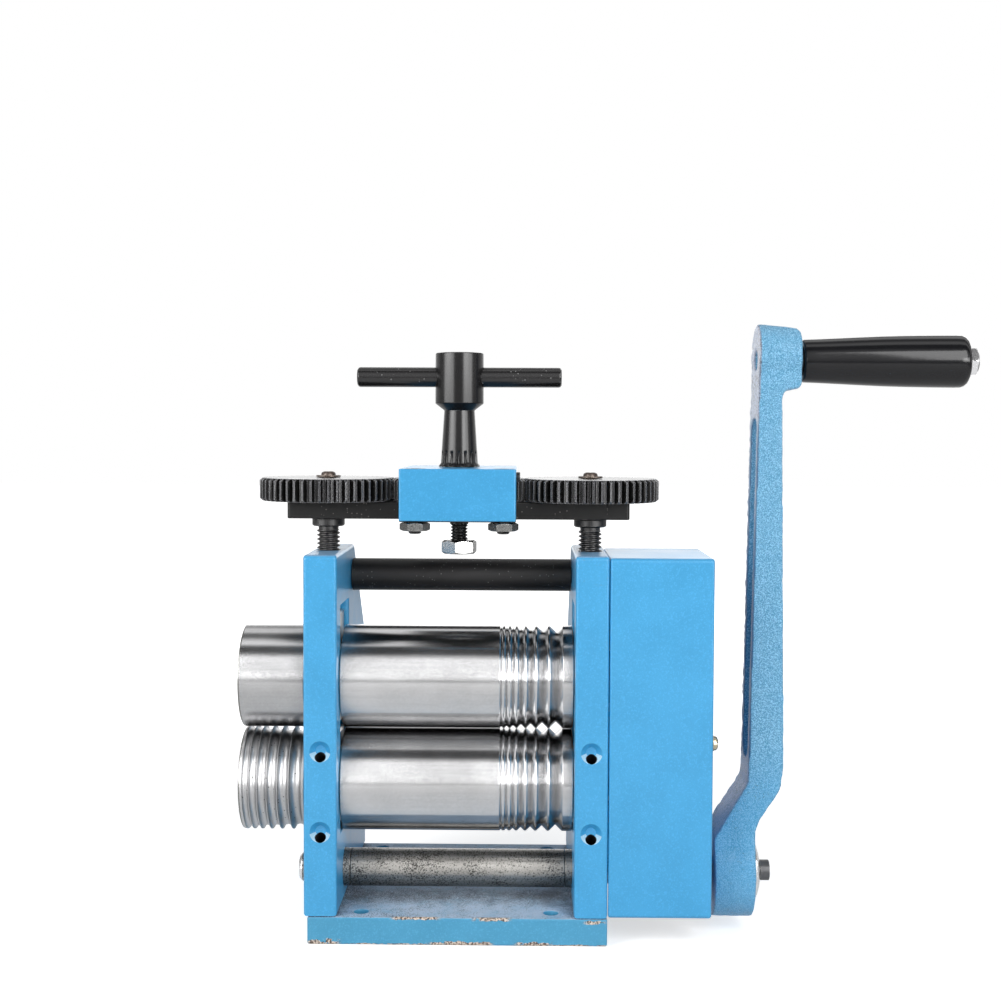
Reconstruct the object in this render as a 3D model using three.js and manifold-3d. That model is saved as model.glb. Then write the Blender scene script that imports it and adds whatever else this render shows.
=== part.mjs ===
// Hand-cranked jewellers' rolling mill for sheet, square wire and half-round wire.
// Lengths are in millimetres and +Z is up. The origin lies on the underside of the base plate,
// straight below the roll axes and midway between the side frames. +X runs along the rolls
// towards the crank, and the metal is fed in from -Y.

import * as THREE from "three";
import { mergeVertices } from "three/addons/utils/BufferGeometryUtils.js";
import Module from "manifold-3d";

const wasm = await Module();
wasm.setup();

// Fits
const seatGap = 0.3; // between pieces that sit face to face
const holeFit = 0.3; // radial room round a journal, pin or bolt in its hole

// Base plate
const baseThickness = 13;
const baseInset = 1.7; // the plate stops this far short of the left side frame's outer face
const baseEdge = 1;
const benchHoleDiameter = 6.5;
const benchHoleFromFrame = 10.4; // hole centre to the frame's inner face
const benchHoleFromEdge = 9; // hole centre to the plate's front or rear edge

// Side frames
const frameThickness = 15.5;
const frameGap = 109.6; // between the inner faces
const frameTop = 180.8;
const frameTopDepth = 73;
const frameDepth = 126;
const frameSlopeFoot = 129; // height where the slope behind the top meets the rear edge
const frameSlopeRounding = 6; // corner radius at the slope's foot
const frameTopRounding = 4; // corner radius where the slope starts
const frameFrontRounding = 2; // corner radius at the top of the front edge
const frameEdge = 1.4;
const axisSetback = 32; // front faces of the frames to the roll axes
const windowWidth = 33.5;

// Rolls
const rollDiameter = 49;
const rollGap = 0.5; // between the rolls as the mill stands
const rollEdge = 0.6;
const collarDiameter = 31;
const journalDiameter = 25;
const journalPastGear = 2.4; // journal shoulder past the frame's outer face, where the gears seat
const stubDiameter = 20;
const vGrooveWidths = [1.4, 1.9, 2.4, 3.4, 4, 5.1, 6.1];
const vGrooveLand = 0.9;
const vGrooveEnd = 4.9; // plain band between the last groove and the roll's right end
const sideRollLength = 31.3;
const sideRollGap = 0.6; // side rolls to the left frame
const sideRollWeb = 2.6;
const sideScrewHeadDiameter = 13;
const sideScrewHeadHeight = 4.4;
const sideScrewDiameter = 8;
const sideScrewReach = 14; // thread inside the roll's stub
const roundGrooveWidths = [3, 3.4, 4.2, 4.5, 5.1, 5.8];
const roundGrooveLand = 0.35;
const roundGrooveStart = 1.9; // plain band at the side roll's free end
const roundGrooveDepthShare = 0.42; // of the groove's width

// Gear train inside the cover
const driveAxisHeight = 27.4;
const spurModule = 1.5;
const pinionTeeth = 20;
const wheelTeeth = 38;
const wheelWidth = 14;
const pinionWidth = 16;
const rollGearModule = 4;
const rollGearTeeth = 12;
const rollGearWidth = 17;
const gearSpacing = 3.2; // between the roll gear and the wheel
const shaftEndPast = 2.2; // stub past the last gear on it

// Drive shaft
const driveShaftDiameter = 18;
const driveJournalDiameter = 14;
const driveBushInset = 3.3; // bush end standing inside the frame
const driveStubLength = 6.1; // journal past the left frame
const driveStubEdge = 1.4;

// Bearings and adjustment travel
const bushWall = 1.9;
const blockRecess = 2.2; // block faces behind the frame's inner face
const blockOuterRecess = 0.5;
const blockEdge = 0.8;
const blockBelowAxis = 22;
const blockAboveAxis = 30.4;
const blockParting = 4; // between the lower and upper blocks as the mill stands
const openTravel = 4.5;
const stopRoom = 0.2;
const padDiameter = 10;
const padThickness = 4;
const padSink = 0.5;
const springPocketDepth = 5;
const springPocketDiameter = 9.6;
const springWire = 1.3;
const springCurls = 5;
const springSteps = 8;
const springSides = 5;

// Oil holes in the front of each side frame
const oilHoleDiameter = 5;
const oilFunnelDiameter = 9;
const oilFunnelDepth = 2.5;
const oilHoleSlope = THREE.MathUtils.degToRad(38);
const rollOilHeight = 90;
const rollOilLength = 21;
const driveOilHeight = 52.5;
const driveOilLength = 32;

// Fasteners of the frame
const tieRodDiameter = 16;
const tieRodHeight = 166.1;
const tieRodSetback = 65.5; // behind the front faces
const capScrewDiameter = 8;
const capScrewHeadDiameter = 13;
const capScrewHeadHeight = 8;
const capScrewSink = 0.5;
const tieScrewReach = 16;
const frameScrewReach = 15;
const frameScrewFromFront = 14;
const frameScrewFromRear = 16;
const frameScrewInset = 1.8; // screw axis inward of the frame's middle, clear of the plate's left edge

// Gear cover
const coverLength = 47.7; // along X
const coverTop = 180;
const coverBottom = 13.3;
const coverWall = 1.5;
const coverEdge = 1.3;
const coverScrewHeight = 93.9;
const coverScrewSpread = 25; // each side of the roll axes
const coverScrewDiameter = 5;
const coverScrewHeadDiameter = 7.2;
const coverScrewHeadHeight = 2.8;

// Crank
const crankStandoff = 3; // cover to hub
const hubLength = 19.1;
const hubRadius = 21.5;
const crankThrow = 244.3;
const bossRadius = 15;
const bossRise = 2.2; // boss centre above the handle axis
const bossOverArm = 9.2; // boss face past the arm's outer face
const bossDraft = 2.2; // the boss's top falls this much towards its face
const armHalfWidth = 13.3;
const armOffset = 15.9; // the arm's inner face past the hub's inner face
const armInnerLean = 3.6;
const armFootThickness = 16.5;
const armTopThickness = 10.3;
const armFootHeight = 50; // where the bend above the hub ends
const armInnerFootHeight = 45.2; // where the slanted inner face meets the arm
const channelWidth = 15;
const channelDepth = 6;
const channelBottom = 55; // above the hub axis
const channelTop = 217;
const crankWasherDiameter = 27.7;
const crankWasherRim = 1.4;
const crankWasherThickness = 4; // at the middle of its dome
const crankBoltHeadDiameter = 9.8;
const crankBoltHeadHeight = 4.5;
const crankBoltDiameter = 6;
const crankBoltReach = 14;

// Crank handle
const spindleDiameter = 10;
const spindleThreadDiameter = 8;
const spindleSink = 2.5;
const spindleCollarDiameter = 14;
const spindleCollarThickness = 1.3;
const gripLength = 78.2;
const gripEndRadius = 10.1;
const gripMiddleRadius = 11.75;
const gripSwellRadius = 12.35;
const gripEndLength = 4.4; // rounded end beyond the widest place
const capNutDiameter = 14.1;
const capNutHeight = 5.1;
const capNutDepth = 3.2;

// Top bar with its three gears
const barBottom = 196.4;
const barThickness = 8;
const barHalfLength = 80.6;
const barHalfWidth = 12;
const barCorner = 1.5;
const topGearModule = 1.25;
const topGearWidth = 10.8;

// Block over the centre gear
const bridgeHalfLength = 26.6;
const bridgeShift = 0.7; // the block sits this much towards the crank
const bridgeHalfDepth = 38;
const bridgeLip = 1.6;
const bridgeRoof = 4.4;
const bridgeFoot = 0.5; // its lower edge above the bar's underside
const bridgeGearRoom = 0.8;
const bridgeEdge = 0.8;
const bridgeBoltSpread = 20.2;
const bridgeBoltShift = 1.3; // the bolts' middle sits this much towards the crank
const bridgeBoltFromFace = 6;
const bridgeBoltDiameter = 6;
const bridgeBoltHeadDiameter = 9.6;
const bridgeBoltHeadHeight = 3.4;
const bridgeBoltPastNut = 1.4;
const bridgeNutFlats = 12.1;
const bridgeNutHeight = 3.8;

// Pressure screws
const screwPitch = 2;
const screwThreadDiameter = 11;
const screwThreadDepth = 1.2;
const screwJournalDiameter = 10;
const screwCollarDiameter = 15.5;
const screwCollarHeight = 3.7;
const screwNeckHeight = 3;
const screwNeckDiameter = 9.4;
const screwTipDiameter = 8.2;
const screwTipHeight = 6;
const screwThreadCrests = 5; // modelled turns of thread, the ones that ever show
const gearScrewWasherDiameter = 11.7;
const gearScrewWasherThickness = 0.8;
const gearScrewHeadDiameter = 7;
const gearScrewHeadHeight = 1.9;
const gearScrewDiameter = 5;
const gearScrewReach = 10;

// T-handle
const tSpindleDiameter = 14;
const tJournalDiameter = 10;
const tThreadDiameter = 8.2;
const tCollarDiameter = 8.8;
const tCollarHeight = 2.8; // below the bar
const tThreadPitch = 1.5;
const tThreadDepth = 0.8;
const tThreadLength = 16.2; // below the bar
const tThreadCrests = 4;
const tNutFlats = 15.2;
const tNutHeight = 6.6;
const tNutDrop = 10.4; // nut's upper face below the bar
const tFlareRadius = 10;
const tFlareHeight = 1.6;
const tNeckFootRadius = 8.9;
const tNeckTopRadius = 7.35;
const tNeckHeight = 26.6;
const tFluteCount = 16;
const tFluteHeight = 7.4;
const tFluteRadius = 1.1;
const tHeadRadius = 11.6;
const tHeadCone = 3.6;
const tHeadHeight = 23.7;
const tBarDiameter = 9.4;
const tBarLength = 97;
const tBarBelowTop = 11.5; // its axis below the head's top

// Facets round a turned piece
const rollFacets = 16;
const facets = 16;
const coarseFacets = 12;

// Places worked out from the sizes above
const frameInner = frameGap / 2;
const frameOuter = frameInner + frameThickness;
const frameMiddle = (frameInner + frameOuter) / 2;
const footScrewX = frameMiddle - frameScrewInset;
const frontY = -axisSetback;
const rearY = frontY + frameDepth;
const wheelRadius = (spurModule * wheelTeeth) / 2;
const lowerAxisHeight = driveAxisHeight + (spurModule * (pinionTeeth + wheelTeeth)) / 2;
const upperAxisHeight = lowerAxisHeight + rollDiameter + rollGap;
const partingHeight = (lowerAxisHeight + upperAxisHeight) / 2;
const lowerBlockBottom = lowerAxisHeight - blockBelowAxis;
const lowerBlockTop = partingHeight - blockParting / 2;
const upperBlockBottom = partingHeight + blockParting / 2;
const upperBlockTop = upperAxisHeight + blockAboveAxis;
const windowBottom = lowerBlockBottom - seatGap;
const windowTop = upperBlockTop + openTravel + stopRoom;
const blockInner = frameInner + blockRecess;
const blockOuter = frameOuter - blockOuterRecess;
const bushBore = journalDiameter / 2 + holeFit;
const bushRadius = bushBore + bushWall;
const barTop = barBottom + barThickness;
const topGearBottom = barTop + seatGap;
const topGearTop = topGearBottom + topGearWidth;
const topGearTeeth = Math.round(frameMiddle / topGearModule);
const topGearTipRadius = (topGearModule * (topGearTeeth + 2)) / 2;
const bridgePocketTop = topGearTop + bridgeGearRoom;
const bridgeTop = bridgePocketTop + bridgeRoof;
const bridgeLeft = bridgeShift - bridgeHalfLength;
const bridgeRight = bridgeShift + bridgeHalfLength;
const bridgeBoltXs = [bridgeBoltShift - bridgeBoltSpread, bridgeBoltShift + bridgeBoltSpread];
const bridgeBoltY = -(bridgeHalfDepth - bridgeBoltFromFace);
const coverInner = frameOuter + seatGap;
const coverOuter = coverInner + coverLength;
const hubInner = coverOuter + crankStandoff;
const hubOuter = hubInner + hubLength;
const handleAxisHeight = driveAxisHeight + crankThrow;
const armInnerTop = armOffset + armInnerLean;
const bossOuter = hubInner + armInnerTop + armTopThickness + bossOverArm;
const gripInner = bossOuter + 2 * seatGap + spindleCollarThickness;
const gripOuter = gripInner + gripLength;
const rollGearStart = frameOuter + journalPastGear + seatGap;
const wheelStart = rollGearStart + rollGearWidth + gearSpacing;
const pinionStart = wheelStart - (pinionWidth - wheelWidth) / 2;
const sideRollInner = -frameOuter - sideRollGap;
const sideRollOuter = sideRollInner - sideRollLength;
const sideScrewSeat = sideRollOuter + sideScrewHeadHeight + 2 * seatGap;
const stubEnd = sideScrewSeat + sideRollWeb + seatGap;

// Colours and finishes
const bluePaint = new THREE.MeshStandardMaterial({ color: 0x55b2e6, roughness: 0.4, metalness: 0.1 });
const castPaint = new THREE.MeshStandardMaterial({ color: 0x4d9dcb, roughness: 0.5, metalness: 0.1 });
const blackSteel = new THREE.MeshStandardMaterial({ color: 0x2b2b2f, roughness: 0.45, metalness: 0.7 });
const rollSteel = new THREE.MeshStandardMaterial({ color: 0xa9adb3, roughness: 0.2, metalness: 0.95 });
const plainSteel = new THREE.MeshStandardMaterial({ color: 0x8c8d8a, roughness: 0.45, metalness: 0.9 });
const zincSteel = new THREE.MeshStandardMaterial({ color: 0xc9c8c2, roughness: 0.3, metalness: 0.9 });
const bronze = new THREE.MeshStandardMaterial({ color: 0xb08a4a, roughness: 0.4, metalness: 0.9 });
const brass = new THREE.MeshStandardMaterial({ color: 0xc8a65a, roughness: 0.35, metalness: 0.9 });
const springSteel = new THREE.MeshStandardMaterial({ color: 0x6f7276, roughness: 0.35, metalness: 0.9 });
const blackPlastic = new THREE.MeshStandardMaterial({ color: 0x101012, roughness: 0.15, metalness: 0 });

// A closed geometry as a solid that can be cut and joined.
function solidOf(geometry) {
  const bare = geometry.clone();
  bare.deleteAttribute("normal");
  bare.deleteAttribute("uv");
  const merged = mergeVertices(bare, 1e-4);
  return new wasm.Manifold(
    new wasm.Mesh({
      numProp: 3,
      vertProperties: merged.attributes.position.array,
      triVerts: new Uint32Array(merged.index.array),
    }),
  );
}

function geometryOf(solid) {
  const made = solid.getMesh();
  const geometry = new THREE.BufferGeometry();
  geometry.setAttribute("position", new THREE.BufferAttribute(new Float32Array(made.vertProperties), 3));
  geometry.setIndex(new THREE.BufferAttribute(new Uint32Array(made.triVerts), 1));
  geometry.computeVertexNormals();
  return geometry;
}

// body without the tools, as a geometry.
function cut(body, tools) {
  return geometryOf(tools.reduce((left, tool) => left.subtract(solidOf(tool)), solidOf(body)));
}

function common(a, b) {
  return geometryOf(solidOf(a).intersect(solidOf(b)));
}

// Turned pieces: profile is a list of [place along the axis, radius] that runs up the axis.
function turnedZ(profile, count = facets) {
  const points = profile.map(([along, radius]) => new THREE.Vector2(radius, along));
  return new THREE.LatheGeometry(points, count).rotateX(Math.PI / 2);
}

function turnedX(profile, count = facets) {
  const points = profile.map(([along, radius]) => new THREE.Vector2(radius, along));
  return new THREE.LatheGeometry(points, count).rotateZ(-Math.PI / 2);
}

function rodProfile(start, end, radius) {
  return [[start, 0], [start, radius], [end, radius], [end, 0]];
}

function ringProfile(start, end, inner, outer) {
  return [[start, inner], [start, outer], [end, outer], [end, inner], [start, inner]];
}

// Outlines are lists of [u, v] or [u, v, corner radius], counter-clockwise.
function outline(points, arcSteps = 3) {
  const path = [];
  points.forEach(([u, v, radius = 0], i) => {
    const corner = new THREE.Vector2(u, v);
    if (radius === 0) {
      path.push(corner);
      return;
    }
    const before = points[(i + points.length - 1) % points.length];
    const after = points[(i + 1) % points.length];
    const toBefore = new THREE.Vector2(before[0] - u, before[1] - v).normalize();
    const toAfter = new THREE.Vector2(after[0] - u, after[1] - v).normalize();
    const half = Math.acos(THREE.MathUtils.clamp(toBefore.dot(toAfter), -1, 1)) / 2;
    const reach = radius / Math.tan(half);
    const centre = corner
      .clone()
      .addScaledVector(toBefore.clone().add(toAfter).normalize(), radius / Math.sin(half));
    const start = corner.clone().addScaledVector(toBefore, reach).sub(centre);
    const end = corner.clone().addScaledVector(toAfter, reach).sub(centre);
    const turn = Math.atan2(start.cross(end), start.dot(end));
    for (let step = 0; step <= arcSteps; step += 1) {
      const point = start.clone().rotateAround(new THREE.Vector2(), (turn * step) / arcSteps);
      path.push(point.add(centre));
    }
  });
  return path;
}

function rectangle(left, low, right, high, radius = 0) {
  return [[left, low, radius], [right, low, radius], [right, high, radius], [left, high, radius]];
}

function circlePoints(radius, count = facets, u = 0, v = 0, phase = 0) {
  return Array.from({ length: count }, (_, i) => {
    const angle = phase + (2 * Math.PI * i) / count;
    return [u + radius * Math.cos(angle), v + radius * Math.sin(angle)];
  });
}

// An outline with holes as a plate from 0 to thickness, its edges chamfered by edge.
function plate(points, holes, thickness, edge = 0) {
  const shape = new THREE.Shape(outline(points));
  shape.holes = holes.map((hole) => new THREE.Path(outline(hole)));
  const geometry = new THREE.ExtrudeGeometry(shape, {
    depth: thickness - 2 * edge,
    bevelEnabled: edge > 0,
    bevelSegments: 1,
    bevelSize: edge,
    bevelThickness: edge,
    bevelOffset: -edge,
  });
  return geometry.translate(0, 0, edge);
}

// The same plate with u along Y, v along Z and its thickness centred on X.
function plateX(points, holes, thickness, edge = 0) {
  const turn = new THREE.Matrix4().makeBasis(
    new THREE.Vector3(0, 1, 0),
    new THREE.Vector3(0, 0, 1),
    new THREE.Vector3(1, 0, 0),
  );
  return plate(points, holes, thickness, edge).translate(0, 0, -thickness / 2).applyMatrix4(turn);
}

// The same plate with u along X, v along Z and its thickness centred on Y.
function plateY(points, holes, thickness, edge = 0) {
  return plate(points, holes, thickness, edge).translate(0, 0, -thickness / 2).rotateX(Math.PI / 2);
}

function box(lowX, highX, lowY, highY, lowZ, highZ) {
  const geometry = new THREE.BoxGeometry(highX - lowX, highY - lowY, highZ - lowZ);
  return geometry.translate((lowX + highX) / 2, (lowY + highY) / 2, (lowZ + highZ) / 2);
}

function hexagon(flats, phase = 0) {
  return circlePoints(flats / Math.sqrt(3), 6, 0, 0, phase);
}

// Gears
const pressureAngle = THREE.MathUtils.degToRad(20);
const rollGear = {
  module: rollGearModule,
  teeth: rollGearTeeth,
  dedendumShare: 1.25,
  backlash: 1,
  flankSteps: 2,
};
const wheelGear = { module: spurModule, teeth: wheelTeeth, dedendumShare: 1.25, backlash: 0.4, flankSteps: 1 };
const pinionGear = { module: spurModule, teeth: pinionTeeth, dedendumShare: 1.25, backlash: 0.4, flankSteps: 1 };
const topGear = { module: topGearModule, teeth: topGearTeeth, dedendumShare: 1.35, backlash: 0.5, flankSteps: 1 };

function involute(angle) {
  return Math.tan(angle) - angle;
}

// Involute tooth outline, with tooth 0 centred on the angle phase.
function gearPoints(gear, phase) {
  const pitchRadius = (gear.module * gear.teeth) / 2;
  const baseRadius = pitchRadius * Math.cos(pressureAngle);
  const rootRadius = pitchRadius - gear.module * gear.dedendumShare;
  const tipRadius = pitchRadius + gear.module;
  const halfAtPitch = Math.PI / (2 * gear.teeth) - gear.backlash / (4 * pitchRadius);
  const halfAngle = (radius) => {
    const slope = Math.acos(Math.min(1, baseRadius / Math.max(radius, baseRadius)));
    return halfAtPitch + involute(pressureAngle) - involute(slope);
  };
  const radii = [];
  for (let step = 0; step <= gear.flankSteps; step += 1) {
    radii.push(rootRadius + ((tipRadius - rootRadius) * step) / gear.flankSteps);
  }
  const points = [];
  for (let tooth = 0; tooth < gear.teeth; tooth += 1) {
    const centre = phase + (2 * Math.PI * tooth) / gear.teeth;
    const rise = radii.map((radius) => [radius, centre - halfAngle(radius)]);
    const fall = radii.map((radius) => [radius, centre + halfAngle(radius)]).reverse();
    for (const [radius, angle] of [...rise, ...fall]) {
      points.push([radius * Math.cos(angle), radius * Math.sin(angle)]);
    }
  }
  return points;
}

function halfTooth(gear) {
  return Math.PI / gear.teeth;
}

// Gears on an X shaft, running from x = 0 to their width, tooth 0 at the angle phase from +Y.
function gearX(gear, width, boreRadius, phase) {
  const holes = [circlePoints(boreRadius).reverse()];
  return plateX(gearPoints(gear, phase), holes, width).translate(width / 2, 0, 0);
}

function gearZ(gear, width, boreRadius, phase) {
  return plate(gearPoints(gear, phase), [circlePoints(boreRadius).reverse()], width);
}

// Base plate and side frames

const baseLeft = -frameOuter + baseInset;
const baseRight = frameOuter;
const benchHoleX = frameInner - benchHoleFromFrame;
const benchHoleYs = [frontY + benchHoleFromEdge, rearY - benchHoleFromEdge];
const frameScrewYs = [frontY + frameScrewFromFront, rearY - frameScrewFromRear];
const capScrewHole = capScrewDiameter / 2 + holeFit;
const capHeadHole = capScrewHeadDiameter / 2 + holeFit;

function basePlateGeometry() {
  const drill = turnedZ(rodProfile(-1, baseThickness + 1, benchHoleDiameter / 2), coarseFacets);
  const benchHoles = [-benchHoleX, benchHoleX].flatMap((x) =>
    benchHoleYs.map((y) => drill.clone().translate(x, y, 0)),
  );
  const body = plate(rectangle(baseLeft, frontY, baseRight, rearY), [], baseThickness, baseEdge);
  const screwHoles = [-footScrewX, footScrewX].flatMap((x) =>
    frameScrewYs.map((y) => {
      const sink = capScrewHeadHeight + capScrewSink + seatGap;
      const profile = [[-1, 0], [-1, capHeadHole], [sink, capHeadHole], [sink, capScrewHole]];
      profile.push([baseThickness + 1, capScrewHole], [baseThickness + 1, 0]);
      return turnedZ(profile, coarseFacets).translate(x, y, 0);
    }),
  );
  return cut(body, [...benchHoles, ...screwHoles]);
}

// A slanted oil hole with its funnel, in the frame's own coordinates.
function oilHoleTools(height, length) {
  const drill = turnedZ(rodProfile(-length, 4, oilHoleDiameter / 2), coarseFacets);
  const funnelProfile = [
    [-oilFunnelDepth, 0],
    [-oilFunnelDepth, oilHoleDiameter / 2],
    [0, oilFunnelDiameter / 2],
    [1, oilFunnelDiameter / 2],
    [1, 0],
  ];
  const funnel = turnedZ(funnelProfile, coarseFacets).rotateX(Math.PI / 2);
  drill.rotateX(Math.PI / 2 - oilHoleSlope);
  const drop = oilFunnelDepth * Math.tan(oilHoleSlope);
  return [drill.translate(0, frontY, height - drop / 2), funnel.translate(0, frontY, height)];
}

// outward is the X direction from the inner face to the outer face, 1 or -1.
function sideFrameGeometry(outward) {
  const profile = [
    [frontY, baseThickness + seatGap],
    [rearY, baseThickness + seatGap],
    [rearY, frameSlopeFoot, frameSlopeRounding],
    [frontY + frameTopDepth, frameTop, frameTopRounding],
    [frontY, frameTop, frameFrontRounding],
  ];
  const half = windowWidth / 2;
  const window = rectangle(-half, windowBottom, half, windowTop).reverse();
  const body = plateX(profile, [window], frameThickness, frameEdge);
  const reach = frameThickness / 2 + 1;
  const driveBore = turnedX(rodProfile(-reach, reach, driveShaftDiameter / 2 + holeFit));
  const screwBore = turnedZ(rodProfile(windowTop - 1, frameTop + 1, screwThreadDiameter / 2 + holeFit));
  const tieSink = frameThickness / 2 - capScrewHeadHeight - capScrewSink - seatGap;
  const tieProfile = [[-reach, 0], [-reach, capScrewHole], [tieSink, capScrewHole]];
  tieProfile.push([tieSink, capHeadHole], [reach, capHeadHole], [reach, 0]);
  const tieHole = turnedX(tieProfile, coarseFacets);
  if (outward < 0) tieHole.rotateZ(Math.PI);
  const footDrill = turnedZ(rodProfile(0, baseThickness + frameScrewReach + 1, capScrewHole), coarseFacets);
  const footHoles = frameScrewYs.map((y) => footDrill.clone().translate(-outward * frameScrewInset, y, 0));
  return cut(body, [
    driveBore.translate(0, 0, driveAxisHeight),
    screwBore,
    tieHole.translate(0, frontY + tieRodSetback, tieRodHeight),
    ...footHoles,
    ...oilHoleTools(rollOilHeight, rollOilLength),
    ...oilHoleTools(driveOilHeight, driveOilLength),
  ]);
}

// A cap screw whose head's underside is at 0 and whose shank runs down to -length.
function capScrewGeometry(length, diameter, headDiameter, headHeight, hasSocket = true) {
  const profile = [
    [-length, 0],
    [-length, diameter / 2],
    [0, diameter / 2],
    [0, headDiameter / 2],
    [headHeight, headDiameter / 2],
  ];
  const socket = headDiameter * 0.22;
  if (hasSocket) profile.push([headHeight, socket], [headHeight / 2, socket], [headHeight / 2, 0]);
  else profile.push([headHeight, 0]);
  return turnedZ(profile, coarseFacets);
}

function tieRodGeometry() {
  const half = frameInner - seatGap;
  const hole = capScrewHole;
  const depth = tieScrewReach + 1;
  return turnedX([
    [-half + depth, 0],
    [-half + depth, hole],
    [-half, hole],
    [-half, tieRodDiameter / 2],
    [half, tieRodDiameter / 2],
    [half, hole],
    [half - depth, hole],
    [half - depth, 0],
  ]);
}

// The gear cover is open towards the side frame and at the bottom, where the pinion reaches out.
function gearCoverGeometry() {
  const half = axisSetback;
  const outer = plateX(rectangle(-half, coverBottom, half, coverTop, 2), [], coverLength, coverEdge);
  const inner = half - coverWall;
  const hollow = box(-coverLength, coverLength / 2 - coverWall, -inner, inner, 0, coverTop - coverWall);
  const through = rodProfile(0, coverLength, driveJournalDiameter / 2 + 1);
  const shaftHole = turnedX(through).translate(0, 0, driveAxisHeight);
  const screwHoles = [-coverScrewSpread, coverScrewSpread].map((y) =>
    turnedX(rodProfile(0, coverLength, coverScrewDiameter / 2 + holeFit), coarseFacets)
      .translate(0, y, coverScrewHeight),
  );
  return cut(outer, [hollow, shaftHole, ...screwHoles]);
}

// The long screw that holds the cover against the right side frame, its head's seat at x = 0.
function coverScrewGeometry() {
  const head = coverScrewHeadDiameter / 2;
  return turnedX(
    [
      [-(coverLength + seatGap), 0],
      [-(coverLength + seatGap), coverScrewDiameter / 2],
      [0, coverScrewDiameter / 2],
      [0, head],
      [coverScrewHeadHeight * 0.5, head],
      [coverScrewHeadHeight * 0.9, head * 0.7],
      [coverScrewHeadHeight, 0],
    ],
    coarseFacets,
  );
}

// Bearings

const blockThickness = blockOuter - blockInner;
const blockMiddle = (blockInner + blockOuter) / 2;
const blockHalfWidth = windowWidth / 2 - holeFit;
const blockShift = blockMiddle - frameMiddle; // blocks sit this much outward of the frame's middle

function springPocket(height) {
  const reach = springPocketDepth + 2;
  return turnedZ(rodProfile(height - reach / 2, height + reach / 2, springPocketDiameter / 2), coarseFacets);
}

function blockBore(height) {
  const profile = rodProfile(-blockThickness, blockThickness, bushRadius + holeFit);
  return turnedX(profile).translate(0, 0, height);
}

function lowerBlockGeometry(outward) {
  const profile = rectangle(-blockHalfWidth, lowerBlockBottom, blockHalfWidth, lowerBlockTop);
  const block = plateX(profile, [], blockThickness, blockEdge);
  const pocket = springPocket(lowerBlockTop - springPocketDepth + (springPocketDepth + 2) / 2);
  const oilHole = oilHoleTools(rollOilHeight, rollOilLength)[0].translate(-outward * blockShift, 0, 0);
  return cut(block, [blockBore(lowerAxisHeight), pocket, oilHole]);
}

function upperBlockGeometry(outward) {
  const profile = rectangle(-blockHalfWidth, upperBlockBottom, blockHalfWidth, upperBlockTop);
  const block = plateX(profile, [], blockThickness, blockEdge);
  const pocket = springPocket(upperBlockBottom + springPocketDepth - (springPocketDepth + 2) / 2);
  const padSeat = upperBlockTop - padThickness - padSink;
  const padHole = turnedZ(rodProfile(padSeat, upperBlockTop + 1, padDiameter / 2 + holeFit), coarseFacets);
  padHole.translate(-outward * blockShift, 0, 0);
  return cut(block, [blockBore(upperAxisHeight), pocket, padHole]);
}

function bushGeometry() {
  const half = blockThickness / 2 - seatGap;
  return turnedX(ringProfile(-half, half, bushBore, bushRadius));
}

const driveBushLength = driveBushInset + frameThickness - 2 * seatGap;

function driveBushGeometry() {
  const bore = driveJournalDiameter / 2 + holeFit;
  return turnedX(ringProfile(-driveBushLength / 2, driveBushLength / 2, bore, driveShaftDiameter / 2));
}

function padGeometry() {
  const edge = 0.5;
  const radius = padDiameter / 2;
  return turnedZ(
    [[0, 0], [0, radius], [padThickness - seatGap - edge, radius], [padThickness - seatGap, radius - edge],
      [padThickness - seatGap, 0]],
    coarseFacets,
  );
}

// A compression spring standing on z = 0: one unbroken tube along a helix.
const springHeight = blockParting + 2 * springPocketDepth - 2 * seatGap;
const springRadius = springPocketDiameter / 2 - holeFit - springWire / 2;

function springPoint(turn) {
  const rise = springHeight - springWire * 1.1;
  const angle = 2 * Math.PI * turn;
  return new THREE.Vector3(
    springRadius * Math.cos(angle),
    springRadius * Math.sin(angle),
    springWire * 0.55 + (rise * turn) / springCurls,
  );
}

function springGeometry() {
  const rings = springCurls * springSteps + 1;
  const positions = [];
  for (let ring = 0; ring < rings; ring += 1) {
    const turn = ring / springSteps;
    const centre = springPoint(turn);
    const outward = new THREE.Vector3(centre.x, centre.y, 0).normalize();
    const along = springPoint(turn + 0.01).sub(springPoint(turn - 0.01)).normalize();
    const upward = new THREE.Vector3().crossVectors(outward, along);
    for (let side = 0; side < springSides; side += 1) {
      const angle = (2 * Math.PI * side) / springSides;
      const point = centre
        .clone()
        .addScaledVector(outward, (springWire / 2) * Math.cos(angle))
        .addScaledVector(upward, (springWire / 2) * Math.sin(angle));
      positions.push(point.x, point.y, point.z);
    }
  }
  const faces = [];
  for (let ring = 0; ring < rings - 1; ring += 1) {
    for (let side = 0; side < springSides; side += 1) {
      const next = (side + 1) % springSides;
      const a = ring * springSides + side;
      const b = ring * springSides + next;
      const c = a + springSides;
      const d = b + springSides;
      faces.push(a, c, b, b, c, d);
    }
  }
  const last = (rings - 1) * springSides;
  for (let side = 1; side < springSides - 1; side += 1) {
    faces.push(0, side, side + 1);
    faces.push(last, last + side + 1, last + side);
  }
  const geometry = new THREE.BufferGeometry();
  geometry.setAttribute("position", new THREE.Float32BufferAttribute(positions, 3));
  geometry.setIndex(faces);
  geometry.computeVertexNormals();
  return geometry;
}

// Least gap between neighbouring curls, measured on points along the wire.
function springLeastGap() {
  let least = Infinity;
  const samples = springCurls * springSteps;
  for (let i = 0; i <= samples; i += 1) {
    for (let j = i + springSteps * 0.75; j <= samples; j += 1) {
      const distance = springPoint(i / springSteps).distanceTo(springPoint(j / springSteps));
      least = Math.min(least, distance - springWire);
    }
  }
  return least;
}

// Rolls

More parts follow.
